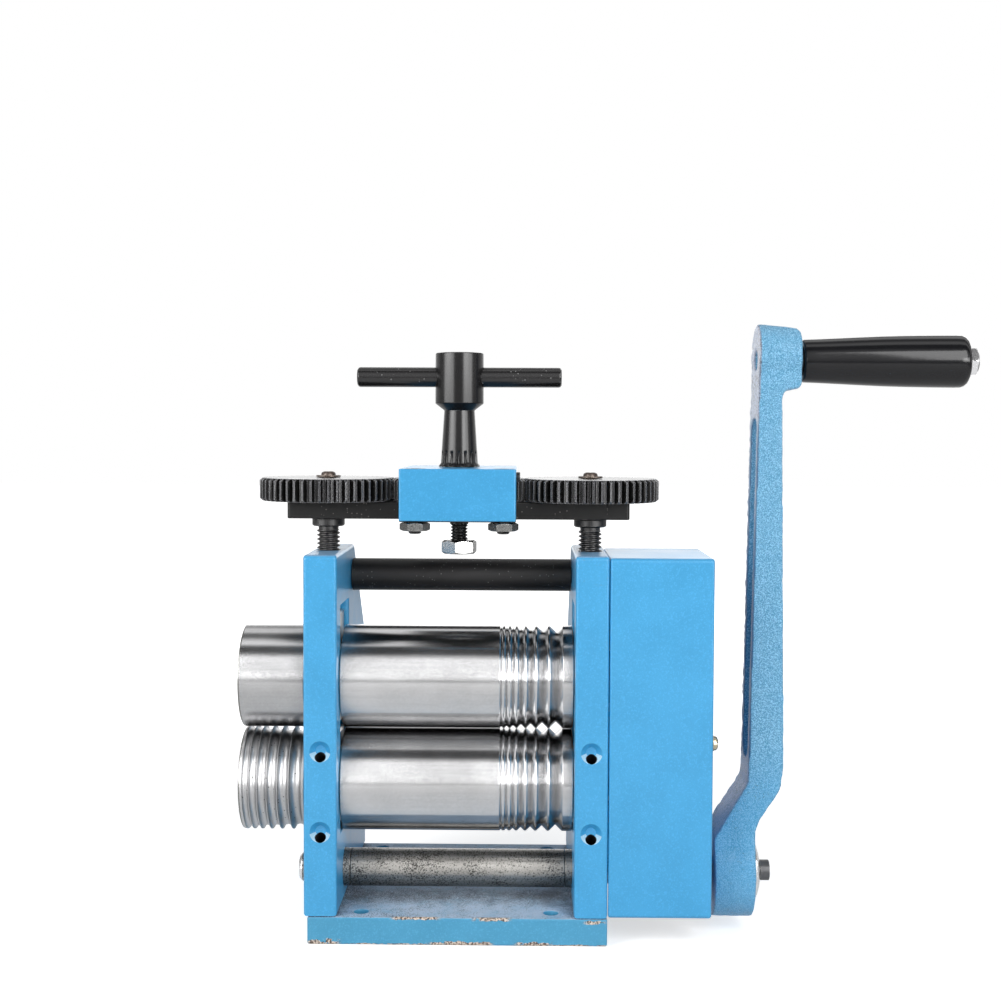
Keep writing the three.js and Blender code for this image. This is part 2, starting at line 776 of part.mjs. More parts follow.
const rollFace = frameInner - seatGap;
const collarEnd = blockInner - seatGap;

function vGroovePoints(radius) {
  const total = vGrooveWidths.reduce((sum, width) => sum + width, 0) + vGrooveLand * (vGrooveWidths.length - 1);
  let x = rollFace - vGrooveEnd - total;
  return vGrooveWidths.flatMap((width) => {
    const points = [[x, radius], [x + width / 2, radius - width / 2], [x + width, radius]];
    x += width + vGrooveLand;
    return points;
  });
}

function rollGeometry(shaftEnd) {
  const radius = rollDiameter / 2;
  const stub = stubDiameter / 2;
  const journal = journalDiameter / 2;
  const collar = collarDiameter / 2;
  const journalLeft = -(frameOuter + seatGap / 2);
  const journalRight = frameOuter + journalPastGear;
  const screwHole = sideScrewDiameter / 2 + holeFit;
  const screwDepth = stubEnd + sideScrewReach + 1;
  return turnedX(
    [
      [screwDepth, 0], [screwDepth, screwHole], [stubEnd, screwHole],
      [stubEnd, stub], [journalLeft, stub], [journalLeft, journal],
      [-collarEnd, journal], [-collarEnd, collar], [-rollFace, collar],
      [-rollFace, radius - rollEdge], [-rollFace + rollEdge, radius],
      ...vGroovePoints(radius),
      [rollFace - rollEdge, radius], [rollFace, radius - rollEdge],
      [rollFace, collar], [collarEnd, collar], [collarEnd, journal], [journalRight, journal],
      [journalRight, stub], [shaftEnd, stub], [shaftEnd, 0],
    ],
    rollFacets,
  );
}

// The bored sleeve on the left end of each roll; grooves holds its profile points, if any.
function sideRollGeometry(grooves) {
  const radius = rollDiameter / 2;
  const bore = stubDiameter / 2 + holeFit;
  const head = sideScrewHeadDiameter / 2 + holeFit;
  const screw = sideScrewDiameter / 2 + holeFit;
  const webEnd = sideScrewSeat + sideRollWeb;
  return turnedX(
    [
      [sideRollInner, bore], [webEnd, bore], [webEnd, screw], [sideScrewSeat, screw],
      [sideScrewSeat, head], [sideRollOuter, head],
      [sideRollOuter, radius - rollEdge], [sideRollOuter + rollEdge, radius],
      ...grooves,
      [sideRollInner - rollEdge, radius], [sideRollInner, radius - rollEdge], [sideRollInner, bore],
    ],
    rollFacets,
  );
}

// Half-round grooves, each an arc through its two edges and its bottom.
function roundGroovePoints() {
  const radius = rollDiameter / 2;
  const steps = 3;
  let x = sideRollOuter + roundGrooveStart;
  return roundGrooveWidths.flatMap((width) => {
    const depth = width * roundGrooveDepthShare;
    const arcRadius = (width * width) / 4 / (2 * depth) + depth / 2;
    const sweep = Math.asin(width / 2 / arcRadius);
    const points = [];
    for (let step = 0; step <= steps; step += 1) {
      const angle = -sweep + (2 * sweep * step) / steps;
      const fall = arcRadius * Math.cos(angle) - (arcRadius - depth);
      points.push([x + width / 2 + arcRadius * Math.sin(angle), radius - fall]);
    }
    x += width + roundGrooveLand;
    return points;
  });
}

// Drive shaft, crank and handle

const driveShaftBody = frameInner - driveBushInset - seatGap;
const driveShaftRight = hubOuter - seatGap;
const driveShaftLeft = -(frameOuter + driveStubLength);
const crankBoltHole = crankBoltDiameter / 2 + holeFit;

function driveShaftGeometry() {
  const body = driveShaftDiameter / 2;
  const journal = driveJournalDiameter / 2;
  return turnedX([
    [driveShaftLeft, 0],
    [driveShaftLeft, journal - driveStubEdge],
    [driveShaftLeft + driveStubEdge, journal],
    [-driveShaftBody, journal],
    [-driveShaftBody, body],
    [driveShaftBody, body],
    [driveShaftBody, journal],
    [driveShaftRight, journal],
    [driveShaftRight, crankBoltHole],
    [driveShaftRight - crankBoltReach - 1, crankBoltHole],
    [driveShaftRight - crankBoltReach - 1, 0],
  ]);
}

// The crank lies in the XZ plane with x = 0 at the hub's inner face and z = 0 on the hub's axis.
function crankGeometry() {
  const bossHeight = crankThrow + bossRise;
  const top = bossHeight + bossRadius;
  const armFootX = armOffset + armFootThickness;
  const armTopX = armInnerTop + armTopThickness;
  const bossX = armTopX + bossOverArm;
  const bend = armFootX - hubLength;
  const side = new THREE.Shape();
  side.moveTo(0, -hubRadius);
  side.lineTo(hubLength, -hubRadius);
  side.lineTo(hubLength, hubRadius);
  side.bezierCurveTo(
    hubLength + 0.15 * bend,
    hubRadius + 0.4 * bend,
    armFootX,
    armFootHeight - 0.6 * bend,
    armFootX,
    armFootHeight,
  );
  side.lineTo(armTopX, bossHeight - bossRadius - 1);
  side.lineTo(bossX - 1.5, bossHeight - bossRadius - 0.6);
  side.lineTo(bossX, bossHeight - bossRadius + 1.6);
  side.lineTo(bossX, top - bossDraft - 2.2);
  side.lineTo(bossX - 1.6, top - bossDraft);
  side.lineTo(armInnerTop, top + 0.2);
  side.lineTo(armOffset, armInnerFootHeight);
  side.lineTo(0, hubRadius * 0.88);
  side.closePath();
  const sidePoints = side.extractPoints(5).shape.map((point) => [point.x, point.y]);
  const face = new THREE.Shape();
  const shoulder = THREE.MathUtils.degToRad(36);
  const bossSide = Math.asin(armHalfWidth / bossRadius);
  const armTop = bossHeight - bossRadius * Math.cos(bossSide);
  const hubSideY = hubRadius * Math.cos(shoulder);
  const hubSideZ = hubRadius * Math.sin(shoulder);
  face.moveTo(armHalfWidth, hubRadius * 2.4);
  face.lineTo(armHalfWidth, armTop);
  face.absarc(0, bossHeight, bossRadius, bossSide - Math.PI / 2, (3 * Math.PI) / 2 - bossSide, false);
  face.lineTo(-armHalfWidth, hubRadius * 2.4);
  face.quadraticCurveTo(-armHalfWidth, hubRadius * 1.35, -hubSideY, hubSideZ);
  face.absarc(0, 0, hubRadius, Math.PI - shoulder, 2 * Math.PI + shoulder, false);
  face.quadraticCurveTo(armHalfWidth, hubRadius * 1.35, armHalfWidth, hubRadius * 2.4);
  const facePoints = face.extractPoints(10).shape.map((point) => [point.x, point.y]);
  const body = common(
    plateY(sidePoints, [], 2 * hubRadius + 2),
    plateX(facePoints, [], 2 * bossX + 4),
  );
  const channel = plateX(
    rectangle(-channelWidth / 2, channelBottom, channelWidth / 2, channelTop, channelWidth / 2 - 0.1),
    [],
    2 * (armInnerTop + channelDepth),
  );
  const behindArm = box(-1, armOffset + channelDepth, -hubRadius, hubRadius, channelBottom - 1, channelTop + 1);
  const hubBore = turnedX(rodProfile(-1, hubLength + 1, driveJournalDiameter / 2 + holeFit));
  const handleBore = turnedX(rodProfile(0, bossX + 1, spindleThreadDiameter / 2 + holeFit));
  return cut(body, [common(channel, behindArm), hubBore, handleBore.translate(0, 0, crankThrow)]);
}

function crankWasherGeometry() {
  const outer = crankWasherDiameter / 2;
  return turnedX([
    [0, crankBoltHole],
    [0, outer],
    [crankWasherRim, outer],
    [crankWasherThickness * 0.8, outer * 0.7],
    [crankWasherThickness, outer * 0.42],
    [crankWasherThickness, crankBoltHole],
    [0, crankBoltHole],
  ]);
}

function handleSpindleGeometry() {
  const thread = spindleThreadDiameter / 2;
  const start = hubInner + armInnerTop + spindleSink;
  const collar = bossOuter + seatGap;
  const collarEndX = collar + spindleCollarThickness;
  return turnedX(
    [
      [start, 0], [start, thread], [collar, thread], [collar, spindleCollarDiameter / 2],
      [collarEndX, spindleCollarDiameter / 2], [collarEndX, spindleDiameter / 2],
      [gripOuter, spindleDiameter / 2], [gripOuter, thread],
      [gripOuter + seatGap + capNutDepth - seatGap, thread], [gripOuter + seatGap + capNutDepth - seatGap, 0],
    ],
    coarseFacets,
  );
}

function gripGeometry() {
  const bore = spindleDiameter / 2 + holeFit;
  const middle = gripInner + gripLength * 0.4;
  const swell = gripOuter - gripEndLength;
  return turnedX([
    [gripInner, bore],
    [gripInner, gripEndRadius - 0.8],
    [gripInner + 1, gripEndRadius],
    [middle, gripMiddleRadius],
    [swell, gripSwellRadius],
    [gripOuter - 1.6, gripSwellRadius - 0.7],
    [gripOuter - 0.1, gripSwellRadius - 3],
    [gripOuter - 0.1, bore],
    [gripInner, bore],
  ]);
}

function capNutGeometry() {
  const radius = capNutDiameter / 2;
  const bore = spindleThreadDiameter / 2 + holeFit;
  return turnedX([
    [capNutDepth, 0],
    [capNutDepth, bore],
    [0, bore],
    [0, radius - 0.6],
    [0.6, radius],
    [capNutHeight * 0.55, radius],
    [capNutHeight * 0.85, radius * 0.75],
    [capNutHeight, 0],
  ]);
}

// Top bar, pressure screws and T-handle

function screwBarGeometry() {
  const plateHalf = bridgeHalfDepth - bridgeLip - seatGap;
  const corners = [
    [-barHalfLength, -barHalfWidth, barCorner],
    [bridgeLeft, -barHalfWidth],
    [bridgeLeft, -plateHalf],
    [bridgeRight, -plateHalf],
    [bridgeRight, -barHalfWidth],
    [barHalfLength, -barHalfWidth, barCorner],
    [barHalfLength, barHalfWidth, barCorner],
    [bridgeRight, barHalfWidth],
    [bridgeRight, plateHalf],
    [bridgeLeft, plateHalf],
    [bridgeLeft, barHalfWidth],
    [-barHalfLength, barHalfWidth, barCorner],
  ];
  const holes = [
    circlePoints(screwJournalDiameter / 2 + holeFit, coarseFacets, -frameMiddle, 0),
    circlePoints(screwJournalDiameter / 2 + holeFit, coarseFacets, frameMiddle, 0),
    circlePoints(tJournalDiameter / 2 + holeFit, coarseFacets, 0, 0),
    ...bridgeBoltXs.map((x) => circlePoints(bridgeBoltDiameter / 2 + holeFit, coarseFacets, x, bridgeBoltY)),
  ];
  return plate(corners, holes.map((hole) => hole.reverse()), barThickness);
}

const bridgeBoltSeat = bridgeTop - bridgeBoltHeadHeight - seatGap;

// The block straddles the bar's wide middle and roofs the centre gear.
function bridgeGeometry() {
  const bottom = barBottom + bridgeFoot;
  const body = plate(
    rectangle(bridgeLeft, -bridgeHalfDepth, bridgeRight, bridgeHalfDepth, 1),
    [],
    bridgeTop - bottom,
    bridgeEdge,
  ).translate(0, 0, bottom);
  const lipInner = bridgeHalfDepth - bridgeLip;
  const plateRoom = box(-barHalfLength, barHalfLength, -lipInner, lipInner, 0, topGearBottom);
  const pocket = turnedZ(rodProfile(bottom, bridgePocketTop, topGearTipRadius + bridgeGearRoom), 2 * facets);
  const spindleHole = turnedZ(rodProfile(bottom, bridgeTop + 1, tSpindleDiameter / 2 + holeFit));
  const headHole = bridgeBoltHeadDiameter / 2 + holeFit;
  const boltHole = bridgeBoltDiameter / 2 + holeFit;
  const boltProfile = [[bottom, 0], [bottom, boltHole], [bridgeBoltSeat, boltHole]];
  boltProfile.push([bridgeBoltSeat, headHole], [bridgeTop + 1, headHole], [bridgeTop + 1, 0]);
  const boltHoles = bridgeBoltXs.map((x) =>
    turnedZ(boltProfile, coarseFacets).translate(x, bridgeBoltY, 0),
  );
  return cut(body, [plateRoom, pocket, spindleHole, ...boltHoles]);
}

// A threaded stretch from low to high with a crest every pitch, as points that run upwards.
function threadProfile(low, pitch, count, crest, depth) {
  return Array.from({ length: count }, (_, turn) => [
    [low + pitch * (turn + 0.05), crest - depth],
    [low + pitch * (turn + 0.5), crest],
  ]).flat();
}

const collarTop = barBottom - seatGap;
const collarBottom = collarTop - screwCollarHeight;
const threadTop = collarBottom - screwNeckHeight;
const screwTip = upperBlockTop - padSink;

function pressureScrewGeometry() {
  const journal = screwJournalDiameter / 2;
  const hole = gearScrewDiameter / 2 + holeFit;
  const crest = screwThreadDiameter / 2;
  const tip = screwTipDiameter / 2;
  const screwEnd = topGearTop - seatGap;
  const threadLow = threadTop - screwPitch * screwThreadCrests;
  const root = crest - screwThreadDepth;
  return turnedZ(
    [
      [screwTip, 0], [screwTip, tip], [screwTip + screwTipHeight, tip],
      [screwTip + screwTipHeight, crest - 0.4], [threadLow, crest - 0.4],
      ...threadProfile(threadLow, screwPitch, screwThreadCrests, crest, crest - root),
      [threadTop, screwNeckDiameter / 2], [collarBottom, screwNeckDiameter / 2],
      [collarBottom, screwCollarDiameter / 2], [collarTop, screwCollarDiameter / 2], [collarTop, journal],
      [screwEnd, journal], [screwEnd, hole],
      [screwEnd - gearScrewReach - 1, hole], [screwEnd - gearScrewReach - 1, 0],
    ],
    coarseFacets,
  );
}

// The screw and washer on top of each outer gear, seated at z = 0.
function gearScrewGeometry() {
  const washer = gearScrewWasherDiameter / 2;
  const head = gearScrewHeadDiameter / 2;
  const thread = gearScrewDiameter / 2;
  const headTop = gearScrewWasherThickness + gearScrewHeadHeight;
  return turnedZ(
    [
      [-gearScrewReach, 0], [-gearScrewReach, thread], [0, thread], [0, washer],
      [gearScrewWasherThickness, washer], [gearScrewWasherThickness, head],
      [headTop, head - 0.6], [headTop, 0],
    ],
    coarseFacets,
  );
}

const tHeadTop = bridgeTop + seatGap + tNeckHeight + tHeadCone + tHeadHeight;
const tBarHeight = tHeadTop - tBarBelowTop;
const tThreadEnd = barBottom - tThreadLength;

function tSpindleGeometry() {
  const foot = bridgeTop + seatGap;
  const neckTop = foot + tNeckHeight;
  const thread = tThreadDiameter / 2;
  const threadTopHeight = barBottom - tCollarHeight;
  const threadLow = threadTopHeight - tThreadPitch * tThreadCrests;
  const root = thread - tThreadDepth;
  const spindle = turnedZ([
    [tThreadEnd, 0], [tThreadEnd, root], [threadLow, root],
    ...threadProfile(threadLow, tThreadPitch, tThreadCrests, thread, tThreadDepth),
    [threadTopHeight, tCollarDiameter / 2], [barBottom, tCollarDiameter / 2], [barBottom, tJournalDiameter / 2],
    [topGearBottom, tJournalDiameter / 2], [topGearBottom, tSpindleDiameter / 2],
    [foot, tSpindleDiameter / 2], [foot, tFlareRadius], [foot + tFlareHeight, tNeckFootRadius],
    [neckTop, tNeckTopRadius], [neckTop + tHeadCone, tHeadRadius],
    [tHeadTop - 1, tHeadRadius], [tHeadTop, tHeadRadius - 1], [tHeadTop, 0],
  ]);
  const flute = turnedZ(rodProfile(foot - 0.1, foot + tFluteHeight, tFluteRadius), 3);
  const flutes = Array.from({ length: tFluteCount }, (_, i) =>
    flute
      .clone()
      .translate(tNeckFootRadius + tFluteRadius * 0.75, 0, 0)
      .rotateZ((2 * Math.PI * i) / tFluteCount),
  );
  const crossHole = turnedX(rodProfile(-2 * tHeadRadius, 2 * tHeadRadius, tBarDiameter / 2 + holeFit));
  return cut(spindle, [...flutes, crossHole.translate(0, 0, tBarHeight)]);
}

function tBarGeometry() {
  const half = tBarLength / 2;
  const radius = tBarDiameter / 2;
  return turnedX([
    [-half, 0], [-half, radius - 1], [-half + 1, radius], [half - 1, radius], [half, radius - 1], [half, 0],
  ]);
}

// A nut lying from z = 0 to its height with its lower corners chamfered.
function nutGeometry(flats, height, boreRadius, phase) {
  const body = plate(hexagon(flats, phase), [circlePoints(boreRadius, coarseFacets).reverse()], height);
  const corner = flats / Math.sqrt(3) + 0.1;
  const rounder = [[0, 0], [0, flats / 2], [0.22 * height, corner], [height + 1, corner], [height + 1, 0]];
  return common(body, turnedZ(rounder, coarseFacets).rotateZ(phase));
}

// Assembly

function place(group, name, geometry, material, x = 0, y = 0, z = 0) {
  const mesh = new THREE.Mesh(geometry, material);
  mesh.name = name;
  mesh.position.set(x, y, z);
  group.add(mesh);
  return mesh;
}

const sides = [
  { name: "left", outward: -1 },
  { name: "right", outward: 1 },
];

function frameGroup() {
  const group = new THREE.Group();
  place(group, "base_plate", basePlateGeometry(), bluePaint);
  place(group, "tie_rod", tieRodGeometry(), blackSteel, 0, frontY + tieRodSetback, tieRodHeight);
  const tieShank = frameThickness - capScrewHeadHeight - capScrewSink + tieScrewReach;
  const tieScrew = capScrewGeometry(tieShank, capScrewDiameter, capScrewHeadDiameter, capScrewHeadHeight);
  const footShank = baseThickness - capScrewHeadHeight - capScrewSink + frameScrewReach;
  const footHead = [capScrewHeadDiameter, capScrewHeadHeight, false];
  const footScrew = capScrewGeometry(footShank, capScrewDiameter, ...footHead);
  for (const { name, outward } of sides) {
    place(group, `side_frame_${name}`, sideFrameGeometry(outward), bluePaint, outward * frameMiddle);
    place(
      group,
      `tie_rod_screw_${name}`,
      tieScrew.clone().rotateY((outward * Math.PI) / 2),
      blackSteel,
      outward * (frameOuter - capScrewHeadHeight - capScrewSink),
      frontY + tieRodSetback,
      tieRodHeight,
    );
    frameScrewYs.forEach((y, i) => {
      const seat = [outward * footScrewX, y, capScrewHeadHeight + capScrewSink];
      const end = ["front", "rear"][i];
      place(group, `frame_screw_${name}_${end}`, footScrew.clone().rotateX(Math.PI), blackSteel, ...seat);
    });
    place(group, `lower_bearing_block_${name}`, lowerBlockGeometry(outward), plainSteel, outward * blockMiddle);
    place(group, `lower_bush_${name}`, bushGeometry(), bronze, outward * blockMiddle, 0, lowerAxisHeight);
    const bushX = frameInner - driveBushInset + driveBushLength / 2;
    place(group, `drive_bush_${name}`, driveBushGeometry(), plainSteel, outward * bushX, 0, driveAxisHeight);
    const springZ = lowerBlockTop - springPocketDepth + seatGap;
    place(group, `lift_spring_${name}`, springGeometry(), springSteel, outward * blockMiddle, 0, springZ);
  }
  place(group, "gear_cover", gearCoverGeometry(), bluePaint, coverInner + coverLength / 2);
  const screwX = coverOuter + seatGap;
  place(group, "cover_screw_front", coverScrewGeometry(), brass, screwX, -coverScrewSpread, coverScrewHeight);
  place(group, "cover_screw_rear", coverScrewGeometry(), brass, screwX, coverScrewSpread, coverScrewHeight);
  return group;
}

const sideScrewX = sideScrewSeat - seatGap;

function sideScrew() {
  const length = sideRollWeb + 2 * seatGap + sideScrewReach;
  const head = capScrewGeometry(length, sideScrewDiameter, sideScrewHeadDiameter, sideScrewHeadHeight);
  return head.rotateY(-Math.PI / 2);
}

function upperRollGroup() {
  const group = new THREE.Group();
  group.position.z = upperAxisHeight;
  const shaftEnd = rollGearStart + rollGearWidth + shaftEndPast;
  place(group, "upper_roll", rollGeometry(shaftEnd), rollSteel);
  place(group, "upper_side_roll", sideRollGeometry([]), rollSteel);
  place(group, "upper_side_roll_screw", sideScrew(), blackSteel, sideScrewX);
  const bore = stubDiameter / 2 + holeFit;
  const phase = Math.PI / 2 + halfTooth(rollGear);
  place(group, "upper_roll_gear", gearX(rollGear, rollGearWidth, bore, phase), plainSteel, rollGearStart);
  return group;
}

function upperCarriageGroup() {
  const group = new THREE.Group();
  for (const { name, outward } of sides) {
    const x = outward * blockMiddle;
    place(group, `upper_bearing_block_${name}`, upperBlockGeometry(outward), plainSteel, x);
    place(group, `upper_bush_${name}`, bushGeometry(), bronze, x, 0, upperAxisHeight);
    const padZ = upperBlockTop - padThickness - padSink + seatGap;
    place(group, `pressure_pad_${name}`, padGeometry(), plainSteel, outward * frameMiddle, 0, padZ - seatGap / 2);
  }
  group.add(upperRollGroup());
  return group;
}

function lowerRollGroup() {
  const group = new THREE.Group();
  group.position.z = lowerAxisHeight;
  const shaftEnd = wheelStart + wheelWidth + shaftEndPast;
  place(group, "lower_roll", rollGeometry(shaftEnd), rollSteel);
  place(group, "lower_side_roll", sideRollGeometry(roundGroovePoints()), rollSteel);
  place(group, "lower_side_roll_screw", sideScrew(), blackSteel, sideScrewX);
  const bore = stubDiameter / 2 + holeFit;
  const up = Math.PI / 2;
  place(group, "lower_roll_gear", gearX(rollGear, rollGearWidth, bore, up), plainSteel, rollGearStart);
  place(group, "driven_gear", gearX(wheelGear, wheelWidth, bore, -up), plainSteel, wheelStart);
  return group;
}

function driveGroup() {
  const group = new THREE.Group();
  group.position.z = driveAxisHeight;
  place(group, "drive_shaft", driveShaftGeometry(), plainSteel);
  const bore = driveJournalDiameter / 2 + holeFit;
  const phase = Math.PI / 2 + halfTooth(pinionGear);
  place(group, "drive_pinion", gearX(pinionGear, pinionWidth, bore, phase), plainSteel, pinionStart);
  place(group, "crank_arm", crankGeometry(), castPaint, hubInner);
  const washerX = hubOuter + seatGap;
  place(group, "crank_washer", crankWasherGeometry(), zincSteel, washerX);
  const boltX = washerX + crankWasherThickness + seatGap;
  const boltLength = boltX - driveShaftRight + crankBoltReach;
  const bolt = capScrewGeometry(boltLength, crankBoltDiameter, crankBoltHeadDiameter, crankBoltHeadHeight);
  place(group, "crank_bolt", bolt.rotateY(Math.PI / 2), blackSteel, boltX);
  place(group, "handle_spindle", handleSpindleGeometry(), plainSteel, 0, 0, crankThrow);
  place(group, "handle_cap_nut", capNutGeometry(), zincSteel, gripOuter + seatGap, 0, crankThrow);
  place(group, "handle_grip", gripGeometry(), blackPlastic, 0, 0, crankThrow);
  return group;
}

function topBarGroup() {
  const group = new THREE.Group();
  place(group, "screw_bar", screwBarGeometry(), blackSteel, 0, 0, barBottom);
  place(group, "gear_bridge", bridgeGeometry(), bluePaint);
  const boltLength = bridgeBoltSeat + seatGap - barBottom + seatGap + bridgeNutHeight + bridgeBoltPastNut;
  const nutZ = barBottom - seatGap - bridgeNutHeight;
  const nutBore = bridgeBoltDiameter / 2 + holeFit;
  for (const { name, outward } of sides) {
    const x = bridgeBoltShift + outward * bridgeBoltSpread;
    const boltHead = [bridgeBoltHeadDiameter, bridgeBoltHeadHeight, false];
    const bolt = capScrewGeometry(boltLength, bridgeBoltDiameter, ...boltHead);
    place(group, `bridge_bolt_${name}`, bolt, blackSteel, x, bridgeBoltY, bridgeBoltSeat + seatGap);
    const turn = THREE.MathUtils.degToRad(5);
    const nut = nutGeometry(bridgeNutFlats, bridgeNutHeight, nutBore, turn);
    place(group, `bridge_nut_${name}`, nut, zincSteel, x, bridgeBoltY, nutZ);
    const screwX = outward * frameMiddle;
    place(group, `pressure_screw_${name}`, pressureScrewGeometry(), blackSteel, screwX);
    const gearPhase = outward < 0 ? halfTooth(topGear) : Math.PI + halfTooth(topGear);
    const gear = gearZ(topGear, topGearWidth, screwJournalDiameter / 2 + holeFit, gearPhase);
    place(group, `screw_gear_${name}`, gear, blackSteel, screwX, 0, topGearBottom);
    place(group, `gear_screw_${name}`, gearScrewGeometry(), brass, screwX, 0, topGearTop + seatGap);
  }
  place(group, "t_spindle", tSpindleGeometry(), blackSteel);
  place(group, "t_bar", tBarGeometry(), blackSteel, 0, 0, tBarHeight);
  const bore = tSpindleDiameter / 2 + holeFit;
  place(group, "centre_gear", gearZ(topGear, topGearWidth, bore, 0), blackSteel, 0, 0, topGearBottom);
  const tNutTop = barBottom - tNutDrop;
  const tNutTurn = THREE.MathUtils.degToRad(-100);
  const tNut = nutGeometry(tNutFlats, tNutHeight, tThreadDiameter / 2 + holeFit, tNutTurn);
  place(group, "spindle_nut", tNut, zincSteel, 0, 0, tNutTop - tNutHeight);
  return group;
}

console.log(`least gap between spring curls: ${springLeastGap().toFixed(2)} mm`);

const mill = new THREE.Group();
mill.add(frameGroup(), upperCarriageGroup(), lowerRollGroup(), driveGroup(), topBarGroup());

export default mill;
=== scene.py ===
"""Hand rolling mill for jewellers: the shapes and finishes of its pieces, a plain studio and the camera."""

from __future__ import annotations

import logging
import math
from collections.abc import Callable, Sequence
from dataclasses import dataclass, field
from enum import Enum
from functools import cache

import bmesh
import bpy
from mathutils import Matrix, Vector, geometry, noise


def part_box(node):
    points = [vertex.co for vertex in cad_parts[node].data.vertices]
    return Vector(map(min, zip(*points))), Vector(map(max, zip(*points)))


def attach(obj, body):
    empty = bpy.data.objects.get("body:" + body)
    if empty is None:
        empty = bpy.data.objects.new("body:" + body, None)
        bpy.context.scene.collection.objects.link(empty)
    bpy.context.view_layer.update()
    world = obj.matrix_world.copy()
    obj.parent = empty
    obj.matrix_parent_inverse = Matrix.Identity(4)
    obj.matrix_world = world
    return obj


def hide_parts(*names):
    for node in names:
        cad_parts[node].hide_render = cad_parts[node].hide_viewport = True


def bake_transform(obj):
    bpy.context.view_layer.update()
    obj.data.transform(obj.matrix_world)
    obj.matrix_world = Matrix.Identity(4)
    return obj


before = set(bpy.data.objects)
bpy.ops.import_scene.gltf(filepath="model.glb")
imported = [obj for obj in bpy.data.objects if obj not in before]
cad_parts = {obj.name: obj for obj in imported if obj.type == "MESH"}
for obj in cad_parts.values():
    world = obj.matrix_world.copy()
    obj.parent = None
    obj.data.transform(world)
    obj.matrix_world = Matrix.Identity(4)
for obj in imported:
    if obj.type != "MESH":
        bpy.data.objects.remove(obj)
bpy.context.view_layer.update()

LOG = logging.getLogger("rolling_mill")
MM = 0.001
TAU = 2 * math.pi
Point = tuple[float, float]
Place = tuple[float, float, float]
Colour = tuple[float, float, float]
RadiusAt = Callable[[float, float, float], float]
Piece = bpy.types.Object
Material = bpy.types.Material
Tree = bpy.types.NodeTree
Node = bpy.types.Node
Socket = bpy.types.NodeSocket

# Places that several sub-assemblies share, in millimetres
FRAME_INNER = 54.8
FRAME_OUTER = 70.3
FRAME_MIDDLE = 62.55
FRONT = -32.0
REAR = 94.0
LOWER_AXIS = 70.9
UPPER_AXIS = 120.4
DRIVE_AXIS = 27.4
HANDLE_AXIS = 271.7
HUB_INNER = 121.3
BAR_BOTTOM = 196.4
BAR_TOP = 204.4
GEAR_BOTTOM = 204.7
GEAR_TOP = 215.5
BRIDGE_TOP = 220.7
# Clearance between pieces that lie against each other
GAP = 0.3
# Scale that turns a place in metres into millimetres
IN_MM = (1000, 1000, 1000)


class Axis(Enum):
    """The line along which a turned or flat piece is built."""

    X = "x"
    Y = "y"
    Z = "z"

    def point(self, along: float, u: float, v: float) -> Place:
        """Place of a point from its distance along the axis and its two distances across it."""
        return {Axis.X: (along, u, v), Axis.Y: (u, along, v), Axis.Z: (u, v, along)}[self]


class Side(Enum):
    """Left or right half of the mill, with its sign along X."""

    LEFT = -1
    RIGHT = 1

    @property
    def word(self) -> str:
        """The side's name in lower case."""
        return self.name.lower()


# Mesh making


def mesh_object(name: str, vertices: Sequence[Place], faces: Sequence[Sequence[int]]) -> Piece:
    """Makes a linked mesh object from millimetre vertices.

    Args:
        name: its name.
        vertices: corners in millimetres, in the mill's own frame.
        faces: corner numbers of each face.

    Returns:
        The object, with its faces turned outward.
    """
    mesh = bpy.data.meshes.new(name)
    mesh.from_pydata([(x * MM, y * MM, z * MM) for x, y, z in vertices], [], [list(f) for f in faces])
    shape = bmesh.new()
    shape.from_mesh(mesh)
    bmesh.ops.remove_doubles(shape, verts=shape.verts, dist=1e-7)
    bmesh.ops.recalc_face_normals(shape, faces=shape.faces)
    shape.to_mesh(mesh)
    shape.free()
    piece = bpy.data.objects.new(name, mesh)
    bpy.context.scene.collection.objects.link(piece)
    return piece


def softened(line: Sequence[Point], edge: float, closed: bool) -> list[Point]:
    """Rounds the corners of a profile.

    Args:
        line: the profile's points.
        edge: how far back each corner is cut, at most.
        closed: whether the last point joins the first.

    Returns:
        The profile with three points in place of each sharp corner.
    """
    made: list[Point] = []
    count = len(line)
    for i, here in enumerate(line):
        if edge <= 0 or (not closed and i in (0, count - 1)):
            made.append(here)
            continue
        corner = Vector(here)
        back = Vector(line[i - 1]) - corner
        ahead = Vector(line[(i + 1) % count]) - corner
        if min(back.length, ahead.length) < 1e-6 or abs(back.angle(ahead) - math.pi) < 0.3:
            made.append(here)
            continue
        reach = min(edge, 0.4 * back.length, 0.4 * ahead.length)
        start = corner + back.normalized() * reach
        end = corner + ahead.normalized() * reach
        made += [tuple(start), tuple(0.25 * start + 0.5 * corner + 0.25 * end), tuple(end)]
    return made


def band_faces(first: Sequence[int], second: Sequence[int]) -> list[tuple[int, ...]]:
    """Faces between two rings of corners, where either ring may be a single point.

    Args:
        first: corner numbers of one ring.
        second: corner numbers of the next ring.

    Returns:
        Corner numbers of each face.
    """
    if len(first) == 1 and len(second) == 1:
        return []
    count = max(len(first), len(second))
    faces: list[tuple[int, ...]] = []
    for i in range(count):
        j = (i + 1) % count
        if len(first) == 1:
            faces.append((first[0], second[j], second[i]))
        elif len(second) == 1:
            faces.append((first[i], first[j], second[0]))
        else:
            faces.append((first[i], first[j], second[j], second[i]))
    return faces


